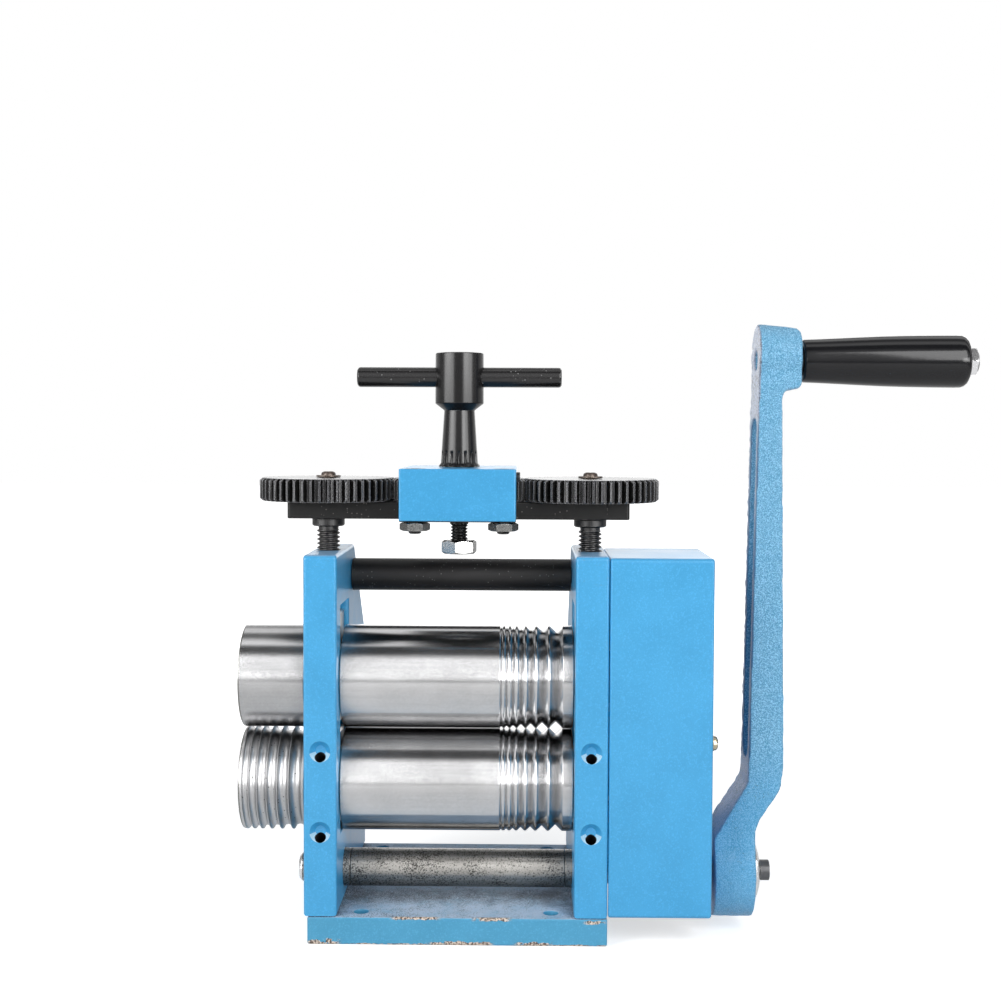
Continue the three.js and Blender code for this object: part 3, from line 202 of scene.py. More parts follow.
def turned(
    name: str,
    profile: Sequence[Point],
    axis: Axis,
    centre: Place = (0, 0, 0),
    sides: int = 96,
    edge: float = 0.25,
    shape: RadiusAt | None = None,
) -> Piece:
    """Turns a profile of (place along the axis, radius) round an axis.

    Args:
        name: its name.
        profile: the profile, closed where its last point repeats the first.
        axis: the axis's direction.
        centre: a point that the axis passes through.
        sides: facets round the piece.
        edge: how far back sharp corners are rounded.
        shape: gives the radius from the place along, the profile's radius and the angle.

    Returns:
        The turned piece.
    """
    closed = profile[0] == profile[-1]
    line = softened(profile[:-1] if closed else profile, edge, closed)
    vertices: list[Place] = []
    rings: list[list[int]] = []
    for along, radius in line:
        ring: list[int] = []
        for step in range(sides if radius > 1e-6 else 1):
            angle = TAU * step / sides
            reach = shape(along, radius, angle) if shape else radius
            here = axis.point(along, reach * math.cos(angle), reach * math.sin(angle))
            ring.append(len(vertices))
            vertices.append((here[0] + centre[0], here[1] + centre[1], here[2] + centre[2]))
        rings.append(ring)
    following = rings[1:] + (rings[:1] if closed else [])
    faces = [face for a, b in zip(rings, following) for face in band_faces(a, b)]
    return mesh_object(name, vertices, faces)


def rounded_outline(points: Sequence[tuple[float, ...]], steps: int = 5) -> list[Point]:
    """Outline from corners (u, v) or (u, v, radius), with an arc at each corner that has a radius.

    Args:
        points: the corners in order.
        steps: facets of each arc.

    Returns:
        The outline.
    """
    path: list[Point] = []
    for i, (u, v, *rest) in enumerate(points):
        if not rest or rest[0] <= 0:
            path.append((u, v))
            continue
        corner = Vector((u, v))
        before = (Vector(points[i - 1][:2]) - corner).normalized()
        after = (Vector(points[(i + 1) % len(points)][:2]) - corner).normalized()
        half = before.angle(after) / 2
        centre = corner + (before + after).normalized() * rest[0] / math.sin(half)
        start = corner + before * rest[0] / math.tan(half) - centre
        end = corner + after * rest[0] / math.tan(half) - centre
        turn = start.angle_signed(end)
        for step in range(steps + 1):
            arm = Matrix.Rotation(-turn * step / steps, 2) @ start
            path.append(tuple(centre + arm))
    return path


def circle(radius: float, u: float = 0, v: float = 0, sides: int = 48) -> list[Point]:
    """Circle outline, counter-clockwise."""
    angles = [TAU * i / sides for i in range(sides)]
    return [(u + radius * math.cos(angle), v + radius * math.sin(angle)) for angle in angles]


def rectangle(left: float, low: float, right: float, high: float, radius: float = 0) -> list[tuple[float, ...]]:
    """Corners of a rectangle with equal corner radii, counter-clockwise."""
    return [(left, low, radius), (right, low, radius), (right, high, radius), (left, high, radius)]


def inset(loop: Sequence[Point], distance: float) -> list[Point]:
    """Moves an outline to its left by a distance, with mitred corners.

    Args:
        loop: the outline.
        distance: how far each side moves.

    Returns:
        The moved outline.
    """
    made: list[Point] = []
    for i, here in enumerate(loop):
        ahead = (Vector(loop[(i + 1) % len(loop)]) - Vector(here)).normalized()
        back = (Vector(here) - Vector(loop[i - 1])).normalized()
        first, second = Vector((-back.y, back.x)), Vector((-ahead.y, ahead.x))
        made.append(tuple(Vector(here) + (first + second) * distance / (1 + first.dot(second))))
    return made


def plate(
    name: str,
    outline: Sequence[Point],
    low: float,
    high: float,
    axis: Axis,
    edge: float = 0.4,
    steps: int = 3,
    holes: Sequence[Sequence[Point]] = (),
) -> Piece:
    """Extrudes an outline along an axis, with rounded or chamfered edges.

    Args:
        name: its name.
        outline: the outer edge, counter-clockwise.
        low: start along the axis.
        high: end along the axis.
        axis: direction of the thickness.
        edge: size of the rounding at both faces.
        steps: facets of the rounding, 1 for a chamfer.
        holes: edges of the holes, counter-clockwise.

    Returns:
        The plate.
    """
    loops = [list(outline)] + [list(hole)[::-1] for hole in holes]
    quarter = [math.pi / 2 * i / steps for i in range(steps + 1)] if edge > 0 else [math.pi / 2]
    bottom = [(low + edge * (1 - math.cos(t)), edge * (1 - math.sin(t))) for t in quarter]
    top = [(high - edge * (1 - math.cos(t)), edge * (1 - math.sin(t))) for t in reversed(quarter)]
    vertices: list[Place] = []
    faces: list[tuple[int, ...]] = []
    caps: list[list[int]] = [[], []]
    flat: list[list[Vector]] = []
    for loop in loops:
        rings: list[list[int]] = []
        for along, fall in bottom + top:
            ring = inset(loop, fall)
            rings.append(list(range(len(vertices), len(vertices) + len(ring))))
            vertices += [axis.point(along, u, v) for u, v in ring]
        faces += [face for a, b in zip(rings, rings[1:]) for face in band_faces(a, b)]
        caps[0] += rings[0]
        caps[1] += rings[-1]
        flat.append([Vector((u, v, 0)) for u, v in inset(loop, bottom[0][1])])
    for triangle in geometry.tessellate_polygon(flat):
        faces += [tuple(cap[i] for i in triangle) for cap in caps]
    return mesh_object(name, vertices, faces)


def box(low: Place, high: Place) -> Piece:
    """Plain block between two corners, used as a cutting tool."""
    outline = rectangle(low[0], low[1], high[0], high[1])
    return plate("tool", [(u, v) for u, v, _ in outline], low[2], high[2], Axis.Z, edge=0)


def cylinder(axis: Axis, start: float, end: float, radius: float, centre: Place = (0, 0, 0), sides: int = 64) -> Piece:
    """Plain cylinder along an axis, used as a cutting tool."""
    return turned("tool", [(start, 0), (start, radius), (end, radius), (end, 0)], axis, centre, sides, 0)


def stepped(axis: Axis, ends: tuple[float, float, float], radii: Point, centre: Place) -> Piece:
    """Cylinder of two radii along an axis, used as a cutting tool.

    Args:
        axis: direction of the cylinder.
        ends: start, change of radius and end along the axis.
        radii: both radii.
        centre: a point on the axis.

    Returns:
        The tool.
    """
    (start, step, end), (first, second) = ends, radii
    line = [(start, 0), (start, first), (step, first), (step, second), (end, second), (end, 0)]
    return turned("tool", line, axis, centre, 48, 0)


def carve(target: Piece, tools: Sequence[Piece], operation: str = "DIFFERENCE") -> None:
    """Cuts tools out of a piece, or keeps what it shares with them, and removes the tools.

    Args:
        target: the piece that changes.
        tools: solids that are used up.
        operation: the boolean operation's name.
    """
    for tool in tools:
        step = target.modifiers.new("carve", "BOOLEAN")
        step.object = tool
        step.operation = operation
        step.solver = "EXACT"
    bpy.context.view_layer.update()
    settled = target.evaluated_get(bpy.context.evaluated_depsgraph_get())
    made = bpy.data.meshes.new_from_object(settled)
    target.modifiers.clear()
    target.data = made
    for tool in tools:
        bpy.data.objects.remove(tool)


def hexagon_radius(flats: float, angle: float, turn: float = 0) -> float:
    """Distance from the middle of a hexagon to its side at an angle."""
    sector = (angle - turn) % (TAU / 6) - TAU / 12
    return flats / 2 / math.cos(sector)


def hex_nut(name: str, flats: float, low: float, high: float, bore: float, centre: Place, turn: float) -> Piece:
    """Hexagon nut on a Z axis with both ends chamfered to a circle.

    Args:
        name: its name.
        flats: width across flats.
        low: lower face.
        high: upper face.
        bore: radius of the hole.
        centre: a point on the axis.
        turn: angle of a flat's edge, in radians.

    Returns:
        The nut.
    """
    corner = flats / math.sqrt(3)
    cone = flats * 0.47
    rise = 0.16 * (high - low)
    climb = [i / 6 * rise for i in range(7)]
    outer = [(low + z, corner) for z in climb] + [(high - z, corner) for z in reversed(climb)]
    soft = 0.35
    profile = [(low + soft, bore), (low, bore + soft), *outer, (high, bore + soft), (high - soft, bore)]

    def shape(along: float, radius: float, angle: float) -> float:
        """Cuts the six flats and the cone at both ends."""
        reach = cone + (corner - cone) * min(1.0, min(along - low, high - along) / rise)
        return radius if radius < corner - 1e-6 else min(hexagon_radius(flats, angle, turn), reach)

    return turned(name, [*profile, profile[0]], Axis.Z, centre, 144, 0, shape)


@dataclass(frozen=True)
class CapScrew:
    """Cap screw with a hexagon socket, its sizes in millimetres."""

    shank: float
    diameter: float
    head: float
    height: float
    socket: float
    point: float = 0.6

    def build(self, name: str, seat: Place, axis: Axis, way: int) -> Piece:
        """Makes the screw.

        Args:
            name: its name.
            seat: place of the head's underside on the axis.
            axis: direction of the screw.
            way: 1 where the head points to the positive end of the axis, else -1.

        Returns:
            The screw.
        """
        thread, head, socket = self.diameter / 2, self.head / 2, self.socket / 2
        profile = [(-self.shank, 0.0), (-self.shank, thread - self.point), (self.point - self.shank, thread)]
        profile += [(0, thread), (0, head), (self.height, head), (self.height, socket)]
        profile += [(self.height * 0.45, socket), (self.height * 0.4, 0)]
        line = [(way * along, radius) for along, radius in profile]

        def shape(along: float, radius: float, angle: float) -> float:
            """Makes the socket's wall a hexagon."""
            return hexagon_radius(self.socket, angle) if abs(radius - socket) < 0.35 else radius

        return turned(name, line, axis, seat, 72, 0.3, shape)


@dataclass(frozen=True)
class Gear:
    """Spur gear's tooth form."""

    teeth: int
    module: float
    chamfer: float = 1.4
    dedendum: float = 1.35
    backlash: float = 0.5

    def outline(self, phase: float) -> list[Point]:
        """Tooth form as (radius, angle), a tooth centred on the phase.

        Args:
            phase: angle of a tooth, in radians.

        Returns:
            The points of all the teeth.
        """
        pressure = math.radians(20)
        pitch = self.module * self.teeth / 2
        base = pitch * math.cos(pressure)
        root = pitch - self.module * self.dedendum
        tip = pitch + self.module
        half_pitch = math.pi / (2 * self.teeth) - self.backlash / (4 * pitch)

        def half(radius: float) -> float:
            """Half of a tooth's angle at a radius."""
            slope = math.acos(min(1.0, base / max(radius, base)))
            return half_pitch + (math.tan(pressure) - pressure) - (math.tan(slope) - slope)

        radii = [root + (tip - root) * i / 6 for i in range(7)]
        points: list[Point] = []
        for tooth in range(self.teeth):
            centre = phase + TAU * tooth / self.teeth
            valley = half(root) + 0.35 * (math.pi / self.teeth - half(root))
            points.append((root - 0.12, centre - valley))
            points += [(r, centre - half(r)) for r in radii]
            points += [(r, centre + half(r)) for r in reversed(radii)]
        return points

    def build(self, name: str, low: float, high: float, bore: float, centre: Place, phase: float) -> Piece:
        """Makes the gear on a Z axis, its tooth ends chamfered.

        Args:
            name: its name.
            low: lower face.
            high: upper face.
            bore: radius of the hole.
            centre: a point on the axis.
            phase: angle of a tooth, in radians.

        Returns:
            The gear.
        """
        tip = self.module * (self.teeth + 2) / 2
        inner = tip - 2.35 * self.module - 1.6
        slant, soft = self.chamfer * 0.8, 0.3
        cuts = [(low, self.chamfer), (low + slant, 0), (high - slant, 0), (high, self.chamfer)]
        form = self.outline(phase)
        rings: list[list[Place]] = [[(bore, a, low) for _, a in form], [(inner, a, low) for _, a in form]]
        rings += [[(min(r, tip - cut), a, z) for r, a in form] for z, cut in cuts]
        rings += [[(inner, a, high) for _, a in form], [(bore + soft, a, high) for _, a in form]]
        rings += [[(bore, a, high - soft) for _, a in form]]
        vertices = [
            (centre[0] + r * math.cos(a), centre[1] + r * math.sin(a), z) for ring in rings for r, a, z in ring
        ]
        count = len(form)
        numbers = [list(range(i * count, (i + 1) * count)) for i in range(len(rings))]
        faces = [f for a, b in zip(numbers, numbers[1:] + numbers[:1]) for f in band_faces(a, b)]
        return mesh_object(name, vertices, faces)


def thread_relief(low: float, high: float, pitch: float, depth: float) -> RadiusAt:
    """Radius rule that cuts a helical thread between two heights.

    Args:
        low: start of the thread.
        high: end of the thread.
        pitch: rise of one turn.
        depth: depth of the groove.

    Returns:
        A function from place along, radius and angle to the cut radius.
    """
    run = 0.6 * pitch

    def shape(along: float, radius: float, angle: float) -> float:
        """Lowers the radius in the groove, which fades out at both ends."""
        groove = min(1.0, max(0.0, 1.9 * abs(2 * ((along / pitch - angle / TAU) % 1.0) - 1) - 0.45))
        return radius - depth * groove * max(0.0, min(1.0, (along - low) / run, (high - along) / run))

    return shape


def levels(low: float, high: float, step: float) -> list[float]:
    """Evenly spaced places from low to high, both included."""
    count = max(1, round((high - low) / step))
    return [low + (high - low) * i / count for i in range(count + 1)]


# Node trees


class Wiring:
    """Adds nodes to one node tree and joins their sockets."""

    def __init__(self, tree: Tree) -> None:
        """Works on the given tree."""
        self.tree = tree

    def feed(self, socket: Socket, value: object) -> None:
        """Joins a socket to another, or sets its value.

        Args:
            socket: the input.
            value: an output socket, or a plain value.
        """
        if isinstance(value, Socket):
            self.tree.links.new(value, socket)
        elif isinstance(value, tuple) and len(value) == 3 and len(socket.default_value) == 4:
            socket.default_value = (*value, 1.0)
        else:
            socket.default_value = value

    def feed_all(self, node: Node, feeds: dict[str | int, object]) -> None:
        """Feeds a node's inputs by name or number."""
        for key, value in feeds.items():
            self.feed(node.inputs[key], value)

    def add(self, kind: str, feeds: dict[str | int, object] | None = None, **settings: object) -> Node:
        """Adds a node.

        Args:
            kind: the node's type name.
            feeds: values or sockets for its inputs.
            **settings: the node's own properties.

        Returns:
            The node.
        """
        node = self.tree.nodes.new(kind)
        for key, value in settings.items():
            setattr(node, key, value)
        self.feed_all(node, feeds or {})
        return node

    def math(self, operation: str, *values: object, clamp: bool = False) -> Socket:
        """One step of arithmetic."""
        node = self.add("ShaderNodeMath", dict(enumerate(values)), operation=operation, use_clamp=clamp)
        return node.outputs[0]

    def times(self, first: object, second: object) -> Socket:
        """Product of two numbers."""
        return self.math("MULTIPLY", first, second)

    def normal(self) -> Socket:
        """Direction in which the surface faces."""
        return self.add("ShaderNodeNewGeometry").outputs["Normal"]

    def split(self, vector: object) -> Sequence[Socket]:
        """The three numbers of a vector."""
        return self.add("ShaderNodeSeparateXYZ", {0: vector}).outputs

    def ramp(self, value: object, low: float, high: float, start: float = 0.0, end: float = 1.0) -> Socket:
        """Smooth step of a value from one range to another."""
        feeds = {0: value, 1: low, 2: high, 3: start, 4: end}
        return self.add("ShaderNodeMapRange", feeds, interpolation_type="SMOOTHSTEP").outputs[0]

    def mix(self, share: object, first: object, second: object) -> Socket:
        """Mix of two colours."""
        return self.add("ShaderNodeMix", {0: share, 6: first, 7: second}, data_type="RGBA").outputs[2]

    def place(self, scale: Place = (1, 1, 1)) -> Socket:
        """Place on the piece in the mill's frame, in metres, times a scale for each axis.

        Args:
            scale: factor for each axis.

        Returns:
            The place as a socket.
        """
        source = self.add("ShaderNodeTexCoord").outputs["Object"]
        if scale == (1, 1, 1):
            return source
        return self.add("ShaderNodeVectorMath", {0: source, 1: scale}, operation="MULTIPLY").outputs[0]

    def noise(
        self, vector: object, scale: object, detail: float = 2.0, roughness: float = 0.5
    ) -> Socket:
        """Fractal noise between 0 and 1."""
        feeds = {"Vector": vector, "Scale": scale, "Detail": detail, "Roughness": roughness}
        return self.add("ShaderNodeTexNoise", feeds).outputs[0]

    def effect(self, group: Tree, **feeds: object) -> Sequence[Socket]:
        """Places a shared effect with its own values.

        Args:
            group: the effect.
            *feeds: its inputs by name, in lower case.

        Returns:
            Its outputs.
        """
        node = self.add("ShaderNodeGroup", node_tree=group)
        for key, value in feeds.items():
            self.feed(node.inputs[key.replace("_", " ").capitalize()], value)
        return node.outputs


def new_effect(name: str, inputs: dict[str, float], outputs: Sequence[str]) -> tuple[Tree, Wiring, dict]:
    """Starts a shader node group.

    Args:
        name: the group's name.
        inputs: its number inputs with their usual values.
        outputs: its number outputs.

    Returns:
        The group, its wiring, and its input sockets by name.
    """
    group = bpy.data.node_groups.new(name, "ShaderNodeTree")
    for key, value in inputs.items():
        group.interface.new_socket(name=key, in_out="INPUT", socket_type="NodeSocketFloat").default_value = value
    for key in outputs:
        group.interface.new_socket(name=key, in_out="OUTPUT", socket_type="NodeSocketFloat")
    wiring = Wiring(group)
    start = wiring.add("NodeGroupInput")
    wiring.add("NodeGroupOutput")
    return group, wiring, {socket.name: socket for socket in start.outputs if socket.name}


def close_effect(wiring: Wiring, **results: Socket) -> None:
    """Joins a group's results to its output node.

    Args:
        wiring: the group's wiring.
        *results: its outputs by name, in lower case.
    """
    end = next(node for node in wiring.tree.nodes if node.type == "GROUP_OUTPUT")
    for key, socket in results.items():
        wiring.feed(end.inputs[key.capitalize()], socket)


@cache
def edge_wear() -> Tree:
    """Mask of rubbed edges: where the surface bends within a reach, broken up by noise.

    Returns:
        The group.
    """
    group, wiring, given = new_effect("edge wear", {"Reach": 0.0006, "Amount": 0.5, "Grain": 900.0}, ["Mask"])
    around = wiring.add("ShaderNodeBevel", {"Radius": given["Reach"]}, samples=4)
    normal = wiring.normal()
    facing = wiring.add("ShaderNodeVectorMath", {0: around.outputs[0], 1: normal}, operation="DOT_PRODUCT")
    bend = wiring.ramp(facing.outputs["Value"], 0.999, 0.9)
    speckle = wiring.noise(wiring.place(), given["Grain"], 4.0, 0.65)
    limit = wiring.math("SUBTRACT", 1.0, given["Amount"])
    broken = wiring.math("SUBTRACT", speckle, wiring.times(limit, 0.7))
    close_effect(wiring, mask=wiring.times(bend, wiring.ramp(broken, 0.0, 0.25)))
    return group


@cache
def occlusion_shade() -> Tree:
    """Mask of painted shade: the narrow places between pieces, found by ambient occlusion within a reach.

    Returns:
        The group.
    """
    group, wiring, given = new_effect("occlusion_shade", {"Reach": 0.02}, ["Mask"])
    open_share = wiring.add("ShaderNodeAmbientOcclusion", {"Distance": given["Reach"]}, samples=6).outputs["AO"]
    close_effect(wiring, mask=wiring.ramp(open_share, 0.82, 0.3))
    return group


@cache
def specks() -> Tree:
    """Mask of small scattered specks, gathered in clouds.

    Returns:
        The group.
    """
    group, wiring, given = new_effect("specks", {"Scale": 900.0, "Coverage": 0.3}, ["Mask"])
    place = wiring.place()
    cells = wiring.add("ShaderNodeTexVoronoi", {"Vector": place, "Scale": given["Scale"]})
    dot = wiring.ramp(cells.outputs["Distance"], 0.34, 0.2)
    keep = wiring.add("ShaderNodeSeparateColor", {0: cells.outputs["Color"]}).outputs[0]
    cloud = wiring.noise(place, wiring.times(given["Scale"], 0.06), 3.0, 0.6)
    share = wiring.times(wiring.ramp(cloud, 0.3, 0.75), given["Coverage"])
    chosen = wiring.math("LESS_THAN", keep, share)
    close_effect(wiring, mask=wiring.times(dot, chosen))
    return group


@cache
def grit() -> Tree:
    """Mask of fine ragged dirt that lies in drifts.

    Returns:
        The group.
    """
    group, wiring, given = new_effect("grit", {"Scale": 900.0, "Amount": 0.5}, ["Mask"])
    place = wiring.place()
    fine = wiring.noise(place, given["Scale"], 3.0, 0.8)
    drift = wiring.noise(place, wiring.times(given["Scale"], 0.07), 3.0, 0.65)
    drift = wiring.times(wiring.math("SUBTRACT", drift, 0.5), 0.35)
    lift = wiring.times(wiring.math("SUBTRACT", given["Amount"], 1.0), 0.2)
    total = wiring.math("ADD", fine, wiring.math("ADD", drift, lift))
    close_effect(wiring, mask=wiring.ramp(total, 0.49, 0.54))
    return group


@cache
def mottle() -> Tree:
    """Slow and fine unevenness of a surface between 0 and 1.

    Returns:
        The group.
    """
    group, wiring, given = new_effect("mottle", {"Scale": 30.0}, ["Value"])
    place = wiring.place()
    slow = wiring.noise(place, given["Scale"], 3.0, 0.6)
    fine = wiring.noise(place, wiring.times(given["Scale"], 30.0), 2.0)
    total = wiring.math("ADD", wiring.times(slow, 0.65), wiring.times(fine, 0.35))
    close_effect(wiring, value=total)
    return group


@cache
def pebble() -> Tree:
    """Pebbled skin of a painted casting, as a height and a mask of its pits.

    Returns:
        The group.
    """
    group, wiring, given = new_effect("pebble", {"Scale": 700.0}, ["Height", "Pits"])
    place = wiring.place()
    coarse = wiring.noise(place, given["Scale"], 2.0, 0.5)
    grain = wiring.noise(place, wiring.times(given["Scale"], 2.3), 3.0, 0.6)
    height = wiring.math("ADD", wiring.times(coarse, 0.65), wiring.times(grain, 0.35))
    close_effect(wiring, height=height, pits=wiring.ramp(height, 0.5, 0.38))
    return group


@cache
def tool_lines() -> Tree:
    """Fine lines left by turning or grinding, which vary quickly along one axis.

    Returns:
        The group.
    """
    inputs = {"Along x": 1.0, "Along y": 1.0, "Along z": 1.0, "Scale": 1000.0}
    group, wiring, given = new_effect("tool lines", inputs, ["Height"])
    stretch = wiring.add("ShaderNodeCombineXYZ", {0: given["Along x"], 1: given["Along y"], 2: given["Along z"]})
    place = wiring.add(
        "ShaderNodeVectorMath", {0: wiring.place(), 1: stretch.outputs[0]}, operation="MULTIPLY"
    ).outputs[0]
    close_effect(wiring, height=wiring.noise(place, given["Scale"], 4.0, 0.7))
    return group


# Finishes


def start_material(name: str) -> tuple[Material, Wiring, Node]:
    """New material with its wiring and its shader node.

    Args:
        name: the material's name.

    Returns:
        The material, its wiring and its shader node.
    """
    material = bpy.data.materials.new(name)
    material.use_nodes = True
    wiring = Wiring(material.node_tree)
    return material, wiring, material.node_tree.nodes["Principled BSDF"]


def bump(wiring: Wiring, shader: Node, height: object, depth: float, strength: float = 1.0) -> None:
    """Raises a shader's normal by a height field whose full range is depth metres."""
    feeds = {"Height": height, "Distance": depth, "Strength": strength}
    wiring.feed(shader.inputs["Normal"], wiring.add("ShaderNodeBump", feeds).outputs[0])


@dataclass(frozen=True)
class Chip:
    """Stretch of the base plate's front edges where paint has come off, in millimetres."""

    start: float
    end: float
    height: float
    reach: float
    share: float


@dataclass(frozen=True)
class Paint:
    """Semi-gloss blue paint with unevenness, dust, dirt that also paints shade into narrow places, chips and rubbed
    edges.
    """

    name: str
    colour: Colour = (0.042, 0.33, 0.625)
    roughness: float = 0.34
    coat: float = 0.25
    wear: float = 0.0
    dust: float = 0.0
    scratches: float = 0.0
    chips: tuple[Chip, ...] = ()
    film_colour: Colour = (0.48, 0.57, 0.7)
    # Colour of the dark drifts of dirt, which also carry painted shade in narrow places
    dirt_colour: Colour = (0.02, 0.02, 0.024)
    scratch_colour: Colour = (0.16, 0.13, 0.11)
    rubbed_colour: Colour = (0.33, 0.30, 0.28)
    rust: Colour = (0.06, 0.035, 0.025)
    filler: Colour = (0.72, 0.6, 0.5)

    def build(self) -> Material:
        """Makes the material.

        Returns:
            The material.
        """
        material, wiring, shader = start_material(self.name)
        uneven = wiring.effect(mottle(), scale=55.0)[0]
        dark = tuple(c * 0.95 for c in self.colour)
        light = tuple(min(1.0, c * 1.04 + 0.004) for c in self.colour)
        colour = wiring.mix(wiring.ramp(uneven, 0.3, 0.7), dark, light)
        grain = wiring.noise(wiring.place(), 1300.0, 2.0, 0.6)
        pale = tuple(min(1.0, c * 1.3 + 0.03) for c in self.colour)
        colour = wiring.mix(wiring.ramp(grain, 0.5, 0.72, 0.0, 0.45), colour, pale)
        rough = wiring.ramp(uneven, 0.2, 0.8, self.roughness - 0.05, self.roughness + 0.06)
        if self.dust > 0:
            colour, rough = self.dusted_and_shaded(wiring, colour, rough)
        if self.scratches > 0:
            thin = wiring.noise(wiring.place((130, 900, 900)), 1.0, 5.0, 0.8)
            height = wiring.split(wiring.place(IN_MM))[2]
            near_top = wiring.ramp(height, 150.0, 176.0, 0.0, 0.07)
            marks = wiring.ramp(wiring.math("ADD", thin, near_top), 0.69, 0.75, 0.0, self.scratches)
            colour = wiring.mix(marks, colour, self.scratch_colour)
        if self.wear > 0:
            rubbed = wiring.effect(edge_wear(), reach=0.0007, amount=self.wear, grain=700.0)[0]
            colour = wiring.mix(rubbed, colour, self.rubbed_colour)
        for chip in self.chips:
            colour = wiring.mix(self.chip_mask(wiring, chip), colour, self.chip_colour(wiring))
        look = {"Base Color": colour, "Roughness": rough, "Coat Weight": self.coat, "Coat Roughness": 0.2}
        wiring.feed_all(shader, look)
        bump(wiring, shader, wiring.noise(wiring.place(), 1500.0, 3.0, 0.6), 0.00003)
        return material

    def dusted_and_shaded(self, wiring: Wiring, colour: Socket, rough: Socket) -> tuple[Socket, Socket]:
        """Lays a film of dust and drifts of dirt on the faces that look up; the drifts thicken in narrow places and
        under pieces, which paints shade into them.

        Args:
            wiring: the material's wiring.
            colour: the clean colour.
            rough: the clean roughness.

        Returns:
            The dusty colour and roughness.
        """
        upward = wiring.split(wiring.normal())[2]
        lying = wiring.times(wiring.ramp(upward, 0.6, 0.9), self.dust * 0.85)
        film = wiring.noise(wiring.place(), 75.0, 5.0, 0.7)
        film = wiring.times(wiring.ramp(film, 0.25, 0.6, 0.45, 1.0), lying)
        colour = wiring.mix(film, colour, self.film_colour)
        # Dirt and painted shade: ambient occlusion makes the dark drifts denser in narrow places and under pieces
        amount = wiring.ramp(wiring.effect(occlusion_shade(), reach=0.016)[0], 0.1, 0.9, 0.62, 1.45)
        dirt = wiring.effect(grit(), scale=1600.0, amount=amount)[0]
        colour = wiring.mix(wiring.times(dirt, lying), colour, self.dirt_colour)
        return colour, wiring.math("ADD", rough, wiring.times(film, 0.3))

    def chip_colour(self, wiring: Wiring) -> Socket:
        """Colour of the bare, rusted metal and filler under the paint."""
        patch = wiring.ramp(wiring.noise(wiring.place(), 1100.0, 3.0, 0.7), 0.44, 0.56)
        return wiring.mix(patch, self.rust, self.filler)

    @staticmethod
    def chip_mask(wiring: Wiring, chip: Chip) -> Socket:
        """Mask of one chipped stretch, densest at its edge.

        Args:
            wiring: the material's wiring.
            chip: the stretch.

        Returns:
            The mask.
        """
        x, y, z = wiring.split(wiring.place(IN_MM))
        near = wiring.ramp(wiring.math("ABSOLUTE", wiring.math("SUBTRACT", z, chip.height)), chip.reach, 0.0)
        begun = wiring.ramp(x, chip.start - 2, chip.start + 2)
        ongoing = wiring.ramp(x, chip.end + 2, chip.end - 2)
        front = wiring.ramp(y, FRONT + 1.6, FRONT + 0.9)
        ragged = wiring.noise(wiring.place((230, 500, 420)), 1.0, 4.0, 0.7)
        density = wiring.math("ADD", ragged, wiring.times(near, 0.32))
        pattern = wiring.ramp(density, 1.02 - chip.share, 1.06 - chip.share)
        for limit in (wiring.math("MULTIPLY", near, 4.0, clamp=True), begun, ongoing, front):
            pattern = wiring.times(pattern, limit)
        return pattern


@dataclass(frozen=True)
class CastPaint:
    """Blue paint over a pebbled casting, with painted highlights and shade on the pebbles, a painted sheen on faces
    turned to -X and painted shade in the arm's channel.
    """

    name: str
    colour: Colour = (0.1, 0.41, 0.72)
    # Painted highlight on the pebbles' raised spots
    grain_highlight: Colour = (0.33, 0.69, 0.95)
    # Painted reflection: pale lilac sheen on faces turned to -X
    inward_sheen: Colour = (0.36, 0.4, 0.56)
    # Painted shade in the arm's channel
    channel: Colour = (0.012, 0.12, 0.3)
    hub: Colour = (0.06, 0.42, 0.8)
    dirt: Colour = (0.02, 0.02, 0.03)
    rubbed: Colour = (0.14, 0.17, 0.32)

    def build(self) -> Material:
        """Makes the material.

        Returns:
            The material.
        """
        material, wiring, shader = start_material(self.name)
        skin = wiring.effect(pebble(), scale=1900.0)
        # Painted highlight and shade: the pebbles' raised spots are lighter and their low spots darker
        dark = tuple(c * 0.8 for c in self.colour)
        colour = wiring.mix(wiring.ramp(skin["Height"], 0.44, 0.6), dark, self.grain_highlight)
        height = wiring.split(wiring.place(IN_MM))[2]
        facing = wiring.split(wiring.normal())[0]
        inward = wiring.ramp(facing, -0.35, -0.75)
        channel = wiring.times(wiring.ramp(height, 246.0, 240.0), wiring.ramp(height, 76.0, 84.0))
        # Painted reflection: faces turned to -X outside the channel get a pale lilac sheen; bare marks these faces, not
        # bare metal
        bare = wiring.times(inward, wiring.math("SUBTRACT", 1.0, channel))
        colour = wiring.mix(wiring.times(bare, 0.8), colour, self.inward_sheen)
        # Painted shade: the channel's faces turned to -X are darkened, as the recess lies in shade
        channel_shade = wiring.times(inward, wiring.times(channel, 0.85))
        colour = wiring.mix(channel_shade, colour, self.channel)
        low_dirt = wiring.ramp(height, 100.0, 40.0, 0.0, 0.38)
        spread = wiring.math("MAXIMUM", low_dirt, wiring.times(bare, 0.75))
        dirty = wiring.effect(grit(), scale=900.0, amount=spread)[0]
        colour = wiring.mix(wiring.times(dirty, 0.8), colour, self.dirt)
        colour = wiring.mix(wiring.ramp(height, 95.0, 55.0, 0.0, 0.45), colour, self.hub)
        rubbed = wiring.effect(edge_wear(), reach=0.0014, amount=0.4, grain=500.0)[0]
        colour = wiring.mix(rubbed, colour, self.rubbed)
        rough = wiring.ramp(skin["Pits"], 0.0, 1.0, 0.33, 0.5)
        wiring.feed_all(shader, {"Base Color": colour, "Roughness": rough, "Coat Weight": 0.25, "Coat Roughness": 0.18})
        bump(wiring, shader, skin["Height"], 0.0012)
        return material


